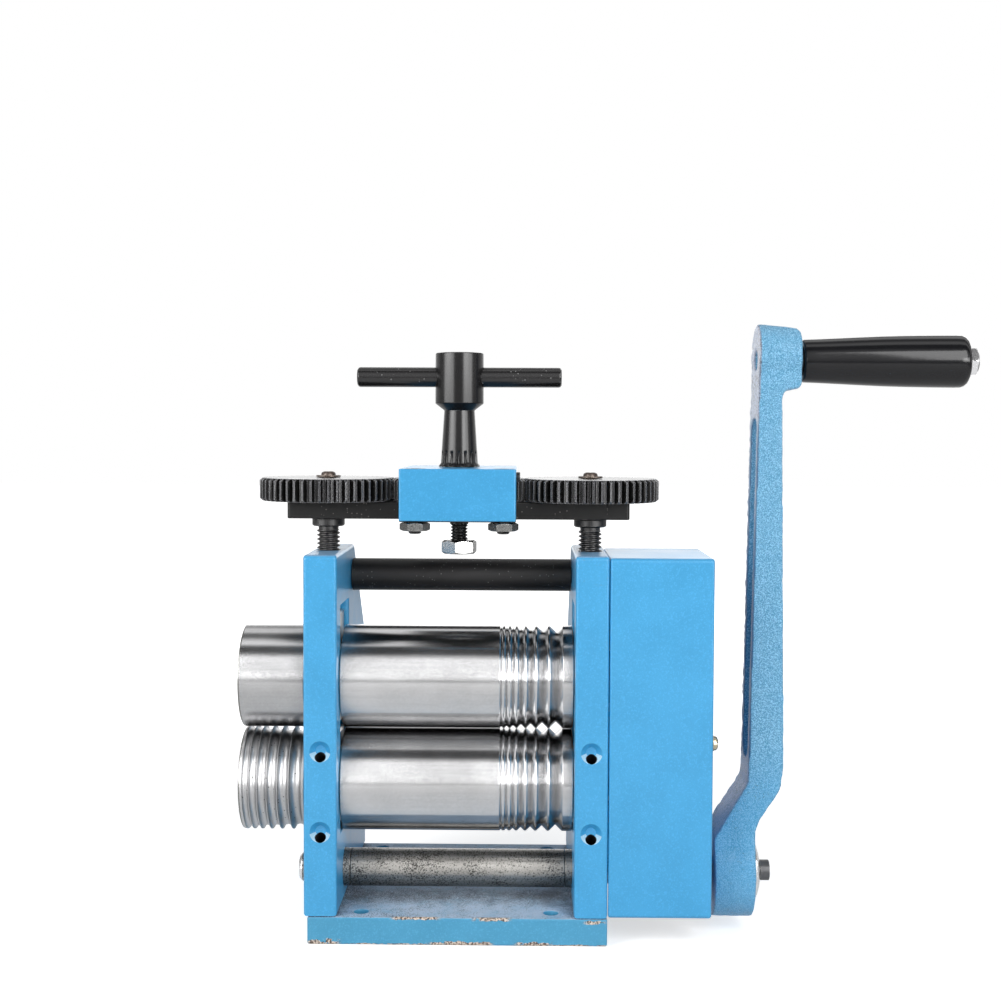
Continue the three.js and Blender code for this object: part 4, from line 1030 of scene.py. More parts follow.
@dataclass(frozen=True)
class Metal:
    """Bare, plated or blackened metal with tool lines, specks of dirt, rubbed edges and painted shade in the narrow
    places between pieces.
    """

    name: str
    colour: Colour
    roughness: float
    metallic: float = 1.0
    lines: Place = (0, 0, 0)
    line_depth: float = 0.0
    wear: float = 0.0
    wear_colour: Colour = (0.3, 0.3, 0.3)
    dirt: float = 0.0
    dirt_scale: float = 900.0
    dirt_colour: Colour = (0.02, 0.018, 0.015)
    grime: float = 0.0
    # Painted shade: share and colour of the darkening in narrow places between pieces, from ambient occlusion
    nook_shade: float = 0.0
    nook_shade_colour: Colour = (0.03, 0.03, 0.032)
    streaks: float = 0.0
    stretched: float = 0.0
    ior: float = 1.5

    def build(self) -> Material:
        """Makes the material.

        Returns:
            The material.
        """
        material, wiring, shader = start_material(self.name)
        uneven = wiring.effect(mottle(), scale=34.0)[0]
        dark = tuple(c * 0.88 for c in self.colour)
        light = tuple(min(1.0, c * 1.08) for c in self.colour)
        colour = wiring.mix(wiring.ramp(uneven, 0.3, 0.7), dark, light)
        if self.streaks > 0:
            drawn = wiring.noise(wiring.place((22, 900, 900)), 1.0, 4.0, 0.65)
            share = wiring.ramp(drawn, 0.42, 0.75, 0.0, self.streaks)
            colour = wiring.mix(share, colour, tuple(c * 0.45 for c in self.colour))
        # Painted shade: darkens the narrow places between pieces, such as the nip between the rolls
        if self.nook_shade > 0:
            narrow = wiring.times(wiring.effect(occlusion_shade(), reach=0.03)[0], self.nook_shade)
            colour = wiring.mix(narrow, colour, self.nook_shade_colour)
        metallic: object = self.metallic
        rough = wiring.ramp(uneven, 0.2, 0.8, self.roughness * 0.85, self.roughness * 1.15)
        if self.dirt > 0:
            dots = wiring.effect(specks(), scale=self.dirt_scale, coverage=self.dirt)[0]
            if self.grime > 0:
                drift = wiring.effect(grit(), scale=self.dirt_scale, amount=self.grime)[0]
                dots = wiring.math("MAXIMUM", dots, drift)
            colour = wiring.mix(dots, colour, self.dirt_colour)
            rough = wiring.math("ADD", rough, wiring.times(dots, 0.3))
            metallic = wiring.times(wiring.math("SUBTRACT", 1.0, dots), self.metallic)
        if self.wear > 0:
            rubbed = wiring.effect(edge_wear(), reach=0.0005, amount=self.wear, grain=600.0)[0]
            colour = wiring.mix(rubbed, colour, self.wear_colour)
        wiring.feed_all(shader, {"Base Color": colour, "Roughness": rough, "Metallic": metallic, "IOR": self.ior})
        if self.stretched > 0:
            tangent = wiring.add("ShaderNodeTangent", direction_type="RADIAL", axis="X").outputs[0]
            stretch = {"Anisotropic": self.stretched, "Anisotropic Rotation": 0.25, "Tangent": tangent}
            wiring.feed_all(shader, stretch)
        if self.line_depth > 0:
            x, y, z = self.lines
            marks = wiring.effect(tool_lines(), along_x=x, along_y=y, along_z=z, scale=1.0)
            bump(wiring, shader, marks[0], self.line_depth)
        else:
            bump(wiring, shader, wiring.noise(wiring.place(), 2500.0, 3.0, 0.6), 0.000012)
        return material


@dataclass(frozen=True)
class GlossPlastic:
    """Hard black plastic with faint rub marks."""

    name: str
    colour: Colour = (0.006, 0.006, 0.007)

    def build(self) -> Material:
        """Makes the material.

        Returns:
            The material.
        """
        material, wiring, shader = start_material(self.name)
        uneven = wiring.effect(mottle(), scale=40.0)[0]
        light = tuple(c * 1.8 for c in self.colour)
        colour, rough = wiring.mix(uneven, self.colour, light), wiring.ramp(uneven, 0.2, 0.8, 0.11, 0.17)
        wiring.feed_all(shader, {"Base Color": colour, "Roughness": rough, "IOR": 1.36})
        bump(wiring, shader, wiring.noise(wiring.place(), 300.0, 3.0, 0.6), 0.00002)
        return material


Finish = Paint | CastPaint | Metal | GlossPlastic

# Stretches of tool marks that run round the X axis
AROUND_X = (2600.0, 18.0, 18.0)
BASE_CHIPS = (
    Chip(-29.0, -8.0, 12.6, 1.5, 0.32),
    Chip(8.5, 25.0, 12.4, 1.8, 0.34),
    Chip(60.0, 69.0, 11.4, 2.2, 0.3),
    Chip(-68.5, -54.0, 0.8, 3.4, 0.33),
    Chip(-12.0, 17.0, 0.6, 2.2, 0.4),
    Chip(28.0, 44.0, 0.6, 2.4, 0.33),
    Chip(-50.0, -12.0, 0.4, 1.0, 0.28),
    Chip(44.0, 70.0, 0.4, 1.2, 0.27),
)
BLACK = (0.009, 0.0085, 0.009)
GREY_RUB = (0.2, 0.2, 0.2)
FRAME_PAINT = Paint("frame paint", wear=0.22, dust=0.5, scratches=0.7)
# Painted highlight: paler paint on the upturned faces of the oil hole funnels, where light falls from above
FUNNEL_HIGHLIGHT = Paint("funnel highlight paint", colour=(0.42, 0.66, 0.82), roughness=0.25, coat=0.5)
COVER_PAINT = Paint("cover paint", wear=0.12, dust=0.12)
BRIDGE_PAINT = Paint("bridge paint", colour=(0.035, 0.305, 0.585), wear=0.12, dust=0.12)
BASE_PAINT = Paint(
    "base paint", colour=(0.06, 0.295, 0.48), roughness=0.5, coat=0.0,
    wear=0.3, dust=1.0, scratches=0.4, chips=BASE_CHIPS,
)
CRANK_PAINT = CastPaint("crank paint")
ROD_BLACK = Metal(
    "blackened rod", BLACK, 0.24, 0.0, AROUND_X, 0.00002, wear=0.35, wear_colour=GREY_RUB,
    dirt=0.12, dirt_colour=(0.16, 0.16, 0.16),
)
TIE_BLACK = Metal(
    "scuffed black rod", BLACK, 0.5, 0.0, AROUND_X, 0.00004, wear=0.35, wear_colour=GREY_RUB,
    dirt=0.3, dirt_colour=(0.1, 0.1, 0.1), ior=1.42,
)
UPRIGHT_BLACK = Metal(
    "blackened spindle", BLACK, 0.2, 0.0, (900.0, 900.0, 30.0), 0.000012, wear=0.35, wear_colour=GREY_RUB, ior=1.36
)
PLAIN_BLACK = Metal("blackened steel", BLACK, 0.36, 0.0, wear=0.5, wear_colour=(0.2, 0.19, 0.18), dirt=0.15)
BAR_BLACK = Metal(
    "oily black bar", (0.005, 0.005, 0.005), 0.45, 0.0, wear=0.4, wear_colour=(0.2, 0.18, 0.16),
    dirt=0.2, dirt_colour=(0.13, 0.12, 0.11), ior=1.35,
)
GEAR_BLACK = Metal(
    "blackened gear", (0.006, 0.006, 0.006), 0.27, 0.0, wear=0.8, wear_colour=(0.34, 0.34, 0.36), dirt=0.1, ior=1.38
)
BROWNED = Metal("browned screw steel", (0.06, 0.04, 0.03), 0.4, 0.5, wear=0.5, wear_colour=(0.3, 0.25, 0.2), ior=1.7)
ROLL_STEEL = Metal(
    "ground roll steel", (0.52, 0.52, 0.525), 0.22, 1.0, AROUND_X, 0.000006, nook_shade=0.3, streaks=0.14, stretched=0.85
)
SIDE_ROLL_STEEL = Metal(
    "ground side roll steel", (0.45, 0.45, 0.455), 0.25, 1.0, AROUND_X, 0.000006,
    nook_shade=0.3, streaks=0.14, stretched=0.8,
)
GROOVED_STEEL = Metal(
    "grooved roll steel", (0.46, 0.46, 0.465), 0.36, 1.0, AROUND_X, 0.00001, dirt=0.15, nook_shade=0.3, stretched=0.4
)
SHAFT_STEEL = Metal(
    "drive shaft steel", (0.34, 0.33, 0.31), 0.32, 0.85, AROUND_X, 0.00003,
    dirt=0.5, dirt_scale=1250.0, grime=0.8, nook_shade=0.3, streaks=0.5, stretched=0.5,
)
BLOCK_STEEL = Metal("machined block steel", (0.45, 0.45, 0.44), 0.34, 1.0, (300.0, 1500.0, 120.0), 0.00002, dirt=0.2)
GEAR_STEEL = Metal("oiled gear steel", (0.36, 0.35, 0.33), 0.3, dirt=0.3)
ZINC = Metal("zinc plate", (0.5, 0.5, 0.49), 0.26, wear=0.2, wear_colour=(0.75, 0.75, 0.74), dirt=0.15)
DULL_ZINC = Metal("dull zinc plate", (0.2, 0.2, 0.195), 0.26, wear=0.4, wear_colour=(0.55, 0.54, 0.52), dirt=0.3)
BRIGHT_STEEL = Metal("bright washer steel", (0.7, 0.7, 0.7), 0.2, 1.0, AROUND_X, 0.000012)
CHROME = Metal("chrome plate", (0.7, 0.7, 0.71), 0.22)
BRONZE = Metal("bush bronze", (0.5, 0.33, 0.13), 0.35, 1.0, AROUND_X, 0.00002, dirt=0.3)
YELLOW_ZINC = Metal("yellow zinc plate", (0.5, 0.43, 0.3), 0.3, wear=0.3, wear_colour=(0.7, 0.68, 0.6), dirt=0.4)
SPRING_STEEL = Metal("spring steel", (0.2, 0.2, 0.21), 0.35, dirt=0.2)
BOLT_STEEL = Metal("grey bolt steel", (0.1, 0.1, 0.105), 0.4, 0.6, wear=0.5, wear_colour=(0.35, 0.35, 0.35))
# Painted shade: near-black walls of the drilled oil holes
HOLE_SHADE = Metal("painted bore shade", (0.01, 0.01, 0.011), 0.6, 0.0)
GRIP_PLASTIC = GlossPlastic("grip plastic")


@cache
def material_of(finish: Finish) -> Material:
    """The material of a finish, made once."""
    return finish.build()


# Sub-assemblies


@dataclass
class Assembly:
    """Group of pieces that are built, dressed and tied to their bodies together."""

    name: str
    pieces: list[Piece] = field(default_factory=list)

    def build(self) -> None:
        """Makes the pieces of the sub-assembly."""
        raise NotImplementedError

    @staticmethod
    def tint(piece: Piece, finish: Finish, test: Callable[[Vector, Vector], bool]) -> None:
        """Gives the faces whose corners, in millimetres, and normal all pass a test a second finish.

        Args:
            piece: a dressed piece.
            finish: the second finish.
            test: takes a corner and the normal of its face.
        """
        piece.data.materials.append(material_of(finish))
        for face in piece.data.polygons:
            if all(test(piece.data.vertices[i].co / MM, face.normal) for i in face.vertices):
                face.material_index = len(piece.data.materials) - 1

    def dress(self, piece: Piece, finish: Finish, slot: str, body: str, *nodes: str, sharp: float = 32) -> None:
        """Gives a new piece its finish, shading and body.

        Args:
            piece: the new piece.
            finish: its finish.
            slot: the record's material slot; not used.
            body: the body that it moves with.
            *nodes: the CAD nodes that it stands for.
            sharp: bends above this many degrees stay sharp.
        """
        self.shade(piece, finish, sharp)
        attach(piece, body)
        if nodes:
            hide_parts(*nodes)
        self.report(piece)

    def report(self, piece: Piece) -> None:
        """Lists and logs a finished piece."""
        self.pieces.append(piece)
        LOG.info("%s: %s", self.name, piece.name)

    @staticmethod
    def shade(piece: Piece, finish: Finish, sharp: float) -> None:
        """Sets a piece's material and the smoothness of its faces.

        Args:
            piece: the piece.
            finish: its finish.
            sharp: bends above this many degrees stay sharp.
        """
        piece.data.materials.clear()
        piece.data.materials.append(material_of(finish))
        piece.data.shade_smooth()
        piece.data.set_sharp_from_angle(angle=math.radians(sharp))
        even = piece.modifiers.new("even shading", "WEIGHTED_NORMAL")
        even.keep_sharp = True
        even.weight = 80

    def keep(self, finish: Finish, *nodes: str) -> None:
        """Gives CAD nodes that stay as they are a finish.

        Args:
            finish: the finish.
            *nodes: the nodes.
        """
        for node in nodes:
            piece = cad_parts[node]
            if not piece.material_slots:
                piece.data.materials.append(None)
            for holder in piece.material_slots:
                holder.material = material_of(finish)
            self.report(piece)


@dataclass
class Castings(Assembly):
    """Base plate, side frames and the rod between them."""

    name: str = "castings"
    base_thickness: float = 13.0
    base_left: float = -68.6
    base_edge: float = 1.0
    frame_top: float = 180.8
    frame_edge: float = 1.4
    top_rear: float = 41.0
    slope_foot: float = 129.0
    window_half: float = 16.75
    window_low: float = 48.6
    window_high: float = 155.5
    bench_hole: float = 3.25
    bench_hole_x: float = 44.4
    bench_hole_ys: tuple[float, float] = (-23.0, 85.0)
    foot_screw_x: float = 60.75
    foot_screw_ys: tuple[float, float] = (-18.0, 78.0)
    screw_hole: float = 4.3
    head_hole: float = 6.8
    head_sink: float = 8.8
    shaft_bore: float = 9.3
    pressure_bore: float = 5.8
    tie_y: float = 33.5
    tie_z: float = 166.1
    tie_half: float = 54.5
    tie_radius: float = 8.0
    tie_seat: float = 8.5
    tie_screw: CapScrew = CapScrew(23, 8, 13, 8, 6)
    oil_slope: float = math.radians(38)
    funnel: float = 4.9
    funnel_depth: float = 3.0
    drill: float = 2.6
    drill_drop: float = 1.65
    oil_holes: tuple[tuple[float, float], ...] = ((90.0, 21.0), (52.5, 32.0))

    def build(self) -> None:
        """Makes the castings and their fasteners."""
        self.dress(self.base_plate(), BASE_PAINT, "blue_paint", "frame", "base_plate")
        for side in Side:
            name = f"side_frame_{side.word}"
            casting = self.side_frame(side)
            self.dress(casting, FRAME_PAINT, "blue_paint", "frame", name)
            # Painted highlight on the funnels' upturned faces
            self.tint(casting, FUNNEL_HIGHLIGHT, self.in_funnel)
            # Painted shade inside the drilled oil holes
            self.tint(casting, HOLE_SHADE, self.in_drill)
            screw = f"tie_rod_screw_{side.word}"
            seat = (side.value * (FRAME_OUTER - self.tie_seat), self.tie_y, self.tie_z)
            piece = self.tie_screw.build(f"{screw}_detail", seat, Axis.X, side.value)
            self.dress(piece, PLAIN_BLACK, "black_oxide", "frame", screw)
        half, radius = self.tie_half, self.tie_radius
        line = [(-half, 0), (-half, radius), (half, radius), (half, 0)]
        rod = turned("tie_rod_detail", line, Axis.X, (0, self.tie_y, self.tie_z))
        self.dress(rod, TIE_BLACK, "black_oxide", "frame", "tie_rod")
        ends = ("front", "rear")
        self.keep(PLAIN_BLACK, *[f"frame_screw_{side.word}_{end}" for side in Side for end in ends])

    def base_plate(self) -> Piece:
        """Base plate with its bench holes and the sunk holes of the foot screws.

        Returns:
            The casting.
        """
        outline = rounded_outline(rectangle(self.base_left, FRONT, FRAME_OUTER, REAR, 0.8))
        spots = [(side.value * self.bench_hole_x, y) for side in Side for y in self.bench_hole_ys]
        holes = [circle(self.bench_hole, x, y) for x, y in spots]
        piece = plate("base_plate_casting", outline, 0, self.base_thickness, Axis.Z, self.base_edge, 3, holes)
        ends, radii = (-1, self.head_sink, self.base_thickness + 1), (self.head_hole, self.screw_hole)
        places = [(side.value * self.foot_screw_x, y, 0) for side in Side for y in self.foot_screw_ys]
        carve(piece, [stepped(Axis.Z, ends, radii, place) for place in places])
        return piece

    def side_frame(self, side: Side) -> Piece:
        """One side frame with its roll window, oil holes and bores.

        Args:
            side: left or right.

        Returns:
            The casting.
        """
        foot = self.base_thickness + GAP
        corners = [(FRONT, foot), (REAR, foot), (REAR, self.slope_foot, 6)]
        corners += [(self.top_rear, self.frame_top, 4), (FRONT, self.frame_top, 2)]
        opening = rectangle(-self.window_half, self.window_low, self.window_half, self.window_high, 0.6)
        window = rounded_outline(opening, 3)
        middle = side.value * FRAME_MIDDLE
        half = (FRAME_OUTER - FRAME_INNER) / 2
        name, outline = f"side_frame_{side.word}_casting", rounded_outline(corners)
        piece = plate(name, outline, middle - half, middle + half, Axis.X, self.frame_edge, 4, [window])
        tools = [
            cylinder(Axis.X, -half - 1, half + 1, self.shaft_bore, (middle, 0, DRIVE_AXIS)),
            cylinder(Axis.Z, self.window_high - 1, self.frame_top + 1, self.pressure_bore, (middle, 0, 0)),
            self.tie_tool(side, middle, half),
        ]
        for height, length in self.oil_holes:
            tools += self.oil_hole(middle, height, length)
        carve(piece, tools)
        return piece

    def in_drill(self, place: Vector, normal: Vector) -> bool:
        """Whether a place lies on the wall of one of the drilled oil holes.

        Args:
            place: a corner, in millimetres.
            normal: its face's normal.

        Returns:
            True if so.
        """
        along = Vector((0, math.cos(self.oil_slope), -math.sin(self.oil_slope)))
        if abs(abs(place.x) - FRAME_MIDDLE) > self.drill + 0.1 or abs(normal.dot(along)) > 0.6:
            return False
        for height, length in self.oil_holes:
            arm = Vector((0, place.y - FRONT, place.z - height + self.drill_drop))
            far = arm.dot(along)
            if 0.3 < far < length + 1 and (arm - along * far).length < self.drill + 0.1:
                return True
        return False

    def in_funnel(self, place: Vector, normal: Vector) -> bool:
        """Whether a place lies on the upturned side of an oil hole's funnel.

        Args:
            place: a corner, in millimetres.
            normal: its face's normal.

        Returns:
            True if so.
        """
        if normal.z < 0.12 or normal.y > -0.2 or not FRONT - 0.01 < place.y < FRONT + 3.2:
            return False
        across = abs(place.x) - FRAME_MIDDLE
        return any(math.hypot(across, place.z - height) < self.funnel + 0.05 for height, _ in self.oil_holes)

    def tie_tool(self, side: Side, middle: float, half: float) -> Piece:
        """Stepped hole of the tie rod's screw."""
        start, sink, end = (side.value * along for along in (-half - 1, half - self.head_sink, half + 1))
        return stepped(Axis.X, (start, sink, end), (self.screw_hole, self.head_hole), (middle, self.tie_y, self.tie_z))

    def oil_hole(self, middle: float, height: float, length: float) -> list[Piece]:
        """Slanted drill and the funnel at its mouth.

        Args:
            middle: middle of the frame along X.
            height: height of the funnel's middle.
            length: length of the drilled hole.

        Returns:
            Both cutting tools.
        """
        wide, narrow, inner = self.funnel, self.drill, FRONT + self.funnel_depth
        line = [(FRONT - 1, 0), (FRONT - 1, wide + 0.5), (FRONT, wide), (inner, narrow - 0.2), (inner, 0)]
        funnel = turned("tool", line, Axis.Y, (middle, 0, height), 64, 0)
        drill = cylinder(Axis.Y, -4, length, narrow, sides=48)
        turn = Matrix.Rotation(-self.oil_slope, 4, "X")
        drill.data.transform(Matrix.Translation(Vector((middle, FRONT, height - self.drill_drop)) * MM) @ turn)
        return [funnel, drill]


@dataclass
class GearCase(Assembly):
    """Cover over the gear train, and its two screws."""

    name: str = "gear case"
    inner: float = 70.6
    outer: float = 118.3
    low: float = 13.3
    top: float = 180.0
    wall: float = 1.5
    drilled: tuple[float, float] = (90.0, 130.0)
    axle_hole: float = 8.0
    screw_hole: float = 2.8
    screw_height: float = 93.9
    screw_spread: float = 25.0
    screw_length: float = 48.0
    slot_half: float = 0.45

    def build(self) -> None:
        """Makes the cover, dresses the gears inside and adds the screws."""
        self.dress(self.cover(), COVER_PAINT, "blue_paint", "frame", "gear_cover")
        for word, y in (("front", -self.screw_spread), ("rear", self.screw_spread)):
            self.dress(self.screw(word, y), YELLOW_ZINC, "yellow_zinc", "frame", f"cover_screw_{word}")
        self.keep(GEAR_STEEL, "upper_roll_gear", "lower_roll_gear", "driven_gear", "drive_pinion")

    def cover(self) -> Piece:
        """Box of sheet metal, open towards the frame and below.

        Returns:
            The cover.
        """
        outline = rounded_outline(rectangle(FRONT, self.low, -FRONT, self.top, 1.9))
        piece = plate("gear_cover_shell", outline, self.inner, self.outer, Axis.X, 1.2, 4)
        inner = -FRONT - self.wall
        room = box((self.inner - 5, -inner, 0), (self.outer - self.wall, inner, self.top - self.wall))
        tools = [room, cylinder(Axis.X, *self.drilled, self.axle_hole, (0, 0, DRIVE_AXIS))]
        for y in (-self.screw_spread, self.screw_spread):
            tools.append(cylinder(Axis.X, *self.drilled, self.screw_hole, (0, y, self.screw_height), 32))
        carve(piece, tools)
        return piece

    def screw(self, word: str, y: float) -> Piece:
        """Round-headed slotted screw with its washer face.

        Args:
            word: front or rear.
            y: the screw's place along Y.

        Returns:
            The screw.
        """
        seat, tip = self.outer + GAP, self.outer + GAP - self.screw_length
        profile = [(tip, 0), (tip, 2.5), (seat, 2.5), (seat, 3.6), (seat + 0.7, 3.6), (seat + 0.7, 3.35)]
        profile += [(seat + 1.5, 3.3), (seat + 2.2, 2.75), (seat + 2.6, 1.8), (seat + 2.8, 0)]
        piece = turned(f"cover_screw_{word}_detail", profile, Axis.X, (0, y, self.screw_height), 64, 0.15)
        low, high = self.screw_height - self.slot_half, self.screw_height + self.slot_half
        carve(piece, [box((seat + 1.5, y - 5, low), (seat + 4, y + 5, high))])
        return piece


@dataclass
class Bearings(Assembly):
    """Bearing blocks, bushes, pressure pads and the springs that lift the upper roll."""

    name: str = "bearings"
    spring_radius: float = 3.85
    wire: float = 1.3
    curls: int = 5
    curl_facets: int = 40
    wire_facets: int = 12

    def build(self) -> None:
        """Dresses the blocks and winds the springs."""
        for side in Side:
            self.keep(BLOCK_STEEL, f"lower_bearing_block_{side.word}", f"upper_bearing_block_{side.word}")
            self.keep(BLOCK_STEEL, f"pressure_pad_{side.word}")
            self.keep(BRONZE, f"lower_bush_{side.word}", f"upper_bush_{side.word}")
            self.spring(side)

    def spring(self, side: Side) -> None:
        """Winds one spring, which stretches between the frame and the upper carriage.

        Args:
            side: left or right.
        """
        node = f"lift_spring_{side.word}"
        low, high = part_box(node)
        x, y = (low.x + high.x) / 2, (low.y + high.y) / 2
        foot, rise = low.z / MM + self.wire * 0.5, (high.z - low.z) / MM - self.wire
        upward = Vector((0, 0, 1))
        rings: list[list[int]] = []
        vertices: list[Place] = []
        for step in range(self.curls * self.curl_facets + 1):
            turn = step / self.curl_facets
            outward = Vector((math.cos(TAU * turn), math.sin(TAU * turn), 0))
            middle = Vector((x / MM, y / MM, foot + rise * turn / self.curls)) + outward * self.spring_radius
            ring: list[int] = []
            for i in range(self.wire_facets):
                angle = TAU * i / self.wire_facets
                ring.append(len(vertices))
                arm = outward * math.cos(angle) + upward * math.sin(angle)
                vertices.append(tuple(middle + arm * self.wire / 2))
            rings.append(ring)
        faces = [face for a, b in zip(rings, rings[1:]) for face in band_faces(a, b)]
        faces += [tuple(rings[0]), tuple(rings[-1])]
        piece = mesh_object(f"{node}_coil", vertices, faces)
        self.shade(piece, SPRING_STEEL, 40)
        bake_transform(piece)
        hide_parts(node)
        self.report(piece)


@dataclass
class Rolls(Assembly):
    """Both rolls with the side rolls on their left ends."""

    name: str = "rolls"
    radius: float = 24.5
    face: float = 54.5
    collar: float = 15.5
    collar_end: float = 56.7
    journal: float = 12.5
    journal_ends: tuple[float, float] = (-70.5, 72.7)
    stub: float = 10.0
    stub_left: float = -94.3
    upper_end: float = 92.2
    lower_end: float = 109.4
    v_widths: tuple[float, ...] = (1.4, 1.9, 2.4, 3.4, 4, 5.1, 6.1)
    v_land: float = 0.9
    v_end: float = 4.9
    side_inner: float = -70.9
    side_outer: float = -102.2
    side_bore: float = 10.3
    side_web: tuple[float, float] = (-97.2, -94.6)
    side_holes: tuple[float, float] = (6.8, 4.3)
    side_seat: float = -97.5
    side_screw: CapScrew = CapScrew(17.2, 8, 13, 4.4, 6)
    round_widths: tuple[float, ...] = (3, 3.4, 4.2, 4.5, 5.1, 5.8)
    round_land: float = 0.35
    round_start: float = 1.9
    round_depth: float = 0.42

    def build(self) -> None:
        """Makes the rolls and the side rolls with their screws."""
        for word, height, end in (("upper", UPPER_AXIS, self.upper_end), ("lower", LOWER_AXIS, self.lower_end)):
            body = f"{word}_roll_shaft"
            self.dress(self.roll(word, height, end), ROLL_STEEL, "roll_steel", body, f"{word}_roll")
            grooves = self.round_grooves() if word == "lower" else []
            finish = GROOVED_STEEL if grooves else SIDE_ROLL_STEEL
            self.dress(self.side_roll(word, height, grooves), finish, "roll_steel", body, f"{word}_side_roll")
            self.tint(self.pieces[-1], DULL_ZINC, self.in_chamfer)
            node = f"{word}_side_roll_screw"
            screw = self.side_screw.build(f"{node}_detail", (self.side_seat, 0, height), Axis.X, -1)
            self.dress(screw, PLAIN_BLACK, "black_oxide", body, node)

    def in_chamfer(self, place: Vector, normal: Vector) -> bool:
        """Whether a place lies on the chamfer of a side roll's left end."""
        return -0.97 < normal.x < -0.3 and place.x < self.side_outer + 1

    def v_grooves(self) -> list[Point]:
        """Profile points of the wire grooves near the right end.

        Returns:
            The points, from left to right.
        """
        total = sum(self.v_widths) + self.v_land * (len(self.v_widths) - 1)
        x = self.face - self.v_end - total
        points: list[Point] = []
        for width in self.v_widths:
            r, soft = self.radius, min(0.22, width * 0.1)
            middle, valley = x + width / 2, r - width / 2
            points += [(x - soft, r), (x + soft * 0.5, r - soft * 0.55), (middle - soft * 0.7, valley + soft)]
            points += [(middle, valley + soft * 0.5), (middle + soft * 0.7, valley + soft)]
            points += [(x + width - soft * 0.5, r - soft * 0.55), (x + width + soft, r)]
            x += width + self.v_land
        return points

    def roll(self, word: str, height: float, end: float) -> Piece:
        """One roll with collars, journals and the stub that carries its gears.

        Args:
            word: upper or lower.
            height: height of its axis.
            end: right end of its stub.

        Returns:
            The roll.
        """
        r, face, edge, (left, right) = self.radius, self.face, self.collar_end, self.journal_ends
        collar, journal, stub = self.collar, self.journal, self.stub
        profile = [(self.stub_left, 0.0), (self.stub_left, stub), (left, stub), (left, journal), (-edge, journal)]
        profile += [(-edge, collar), (-face, collar), (-face, r - 0.5), (0.15 - face, r - 0.15), (0.5 - face, r)]
        profile += [*self.v_grooves(), (face - 0.5, r), (face - 0.15, r - 0.15), (face, r - 0.5), (face, collar)]
        profile += [(edge, collar), (edge, journal), (right, journal), (right, stub), (end, stub), (end, 0.0)]
        return turned(f"{word}_roll_ground", profile, Axis.X, (0, 0, height), 192, 0)

    def round_grooves(self) -> list[Point]:
        """Profile points of the half-round grooves.

        Returns:
            The points, from left to right.
        """
        x = self.side_outer + self.round_start
        points: list[Point] = []
        for width in self.round_widths:
            depth = width * self.round_depth
            arc = width * width / (8 * depth) + depth / 2
            sweep = math.asin(width / 2 / arc)
            for step in range(13):
                angle = -sweep + 2 * sweep * step / 12
                fall = arc * math.cos(angle)
                points.append((x + width / 2 + arc * math.sin(angle), self.radius - fall + arc - depth))
            x += width + self.round_land
        return points

    def side_roll(self, word: str, height: float, grooves: list[Point]) -> Piece:
        """Sleeve on a roll's left end, its screw sunk in its face.

        Args:
            word: upper or lower.
            height: height of its axis.
            grooves: profile points of its grooves, if any.

        Returns:
            The sleeve.
        """
        r, bore, inner, outer = self.radius, self.side_bore, self.side_inner, self.side_outer
        (sink, hole), (left, right) = self.side_holes, self.side_web
        profile = [(inner, bore), (right, bore), (right, hole), (left, hole), (left, sink), (outer, sink)]
        profile += [(outer, r - 0.9), (outer + 0.25, r - 0.3), (outer + 0.9, r), *grooves]
        profile += [(inner - 0.6, r), (inner, r - 0.6), (inner, bore)]
        return turned(f"{word}_side_roll_ground", profile, Axis.X, (0, 0, height), 192, 0)


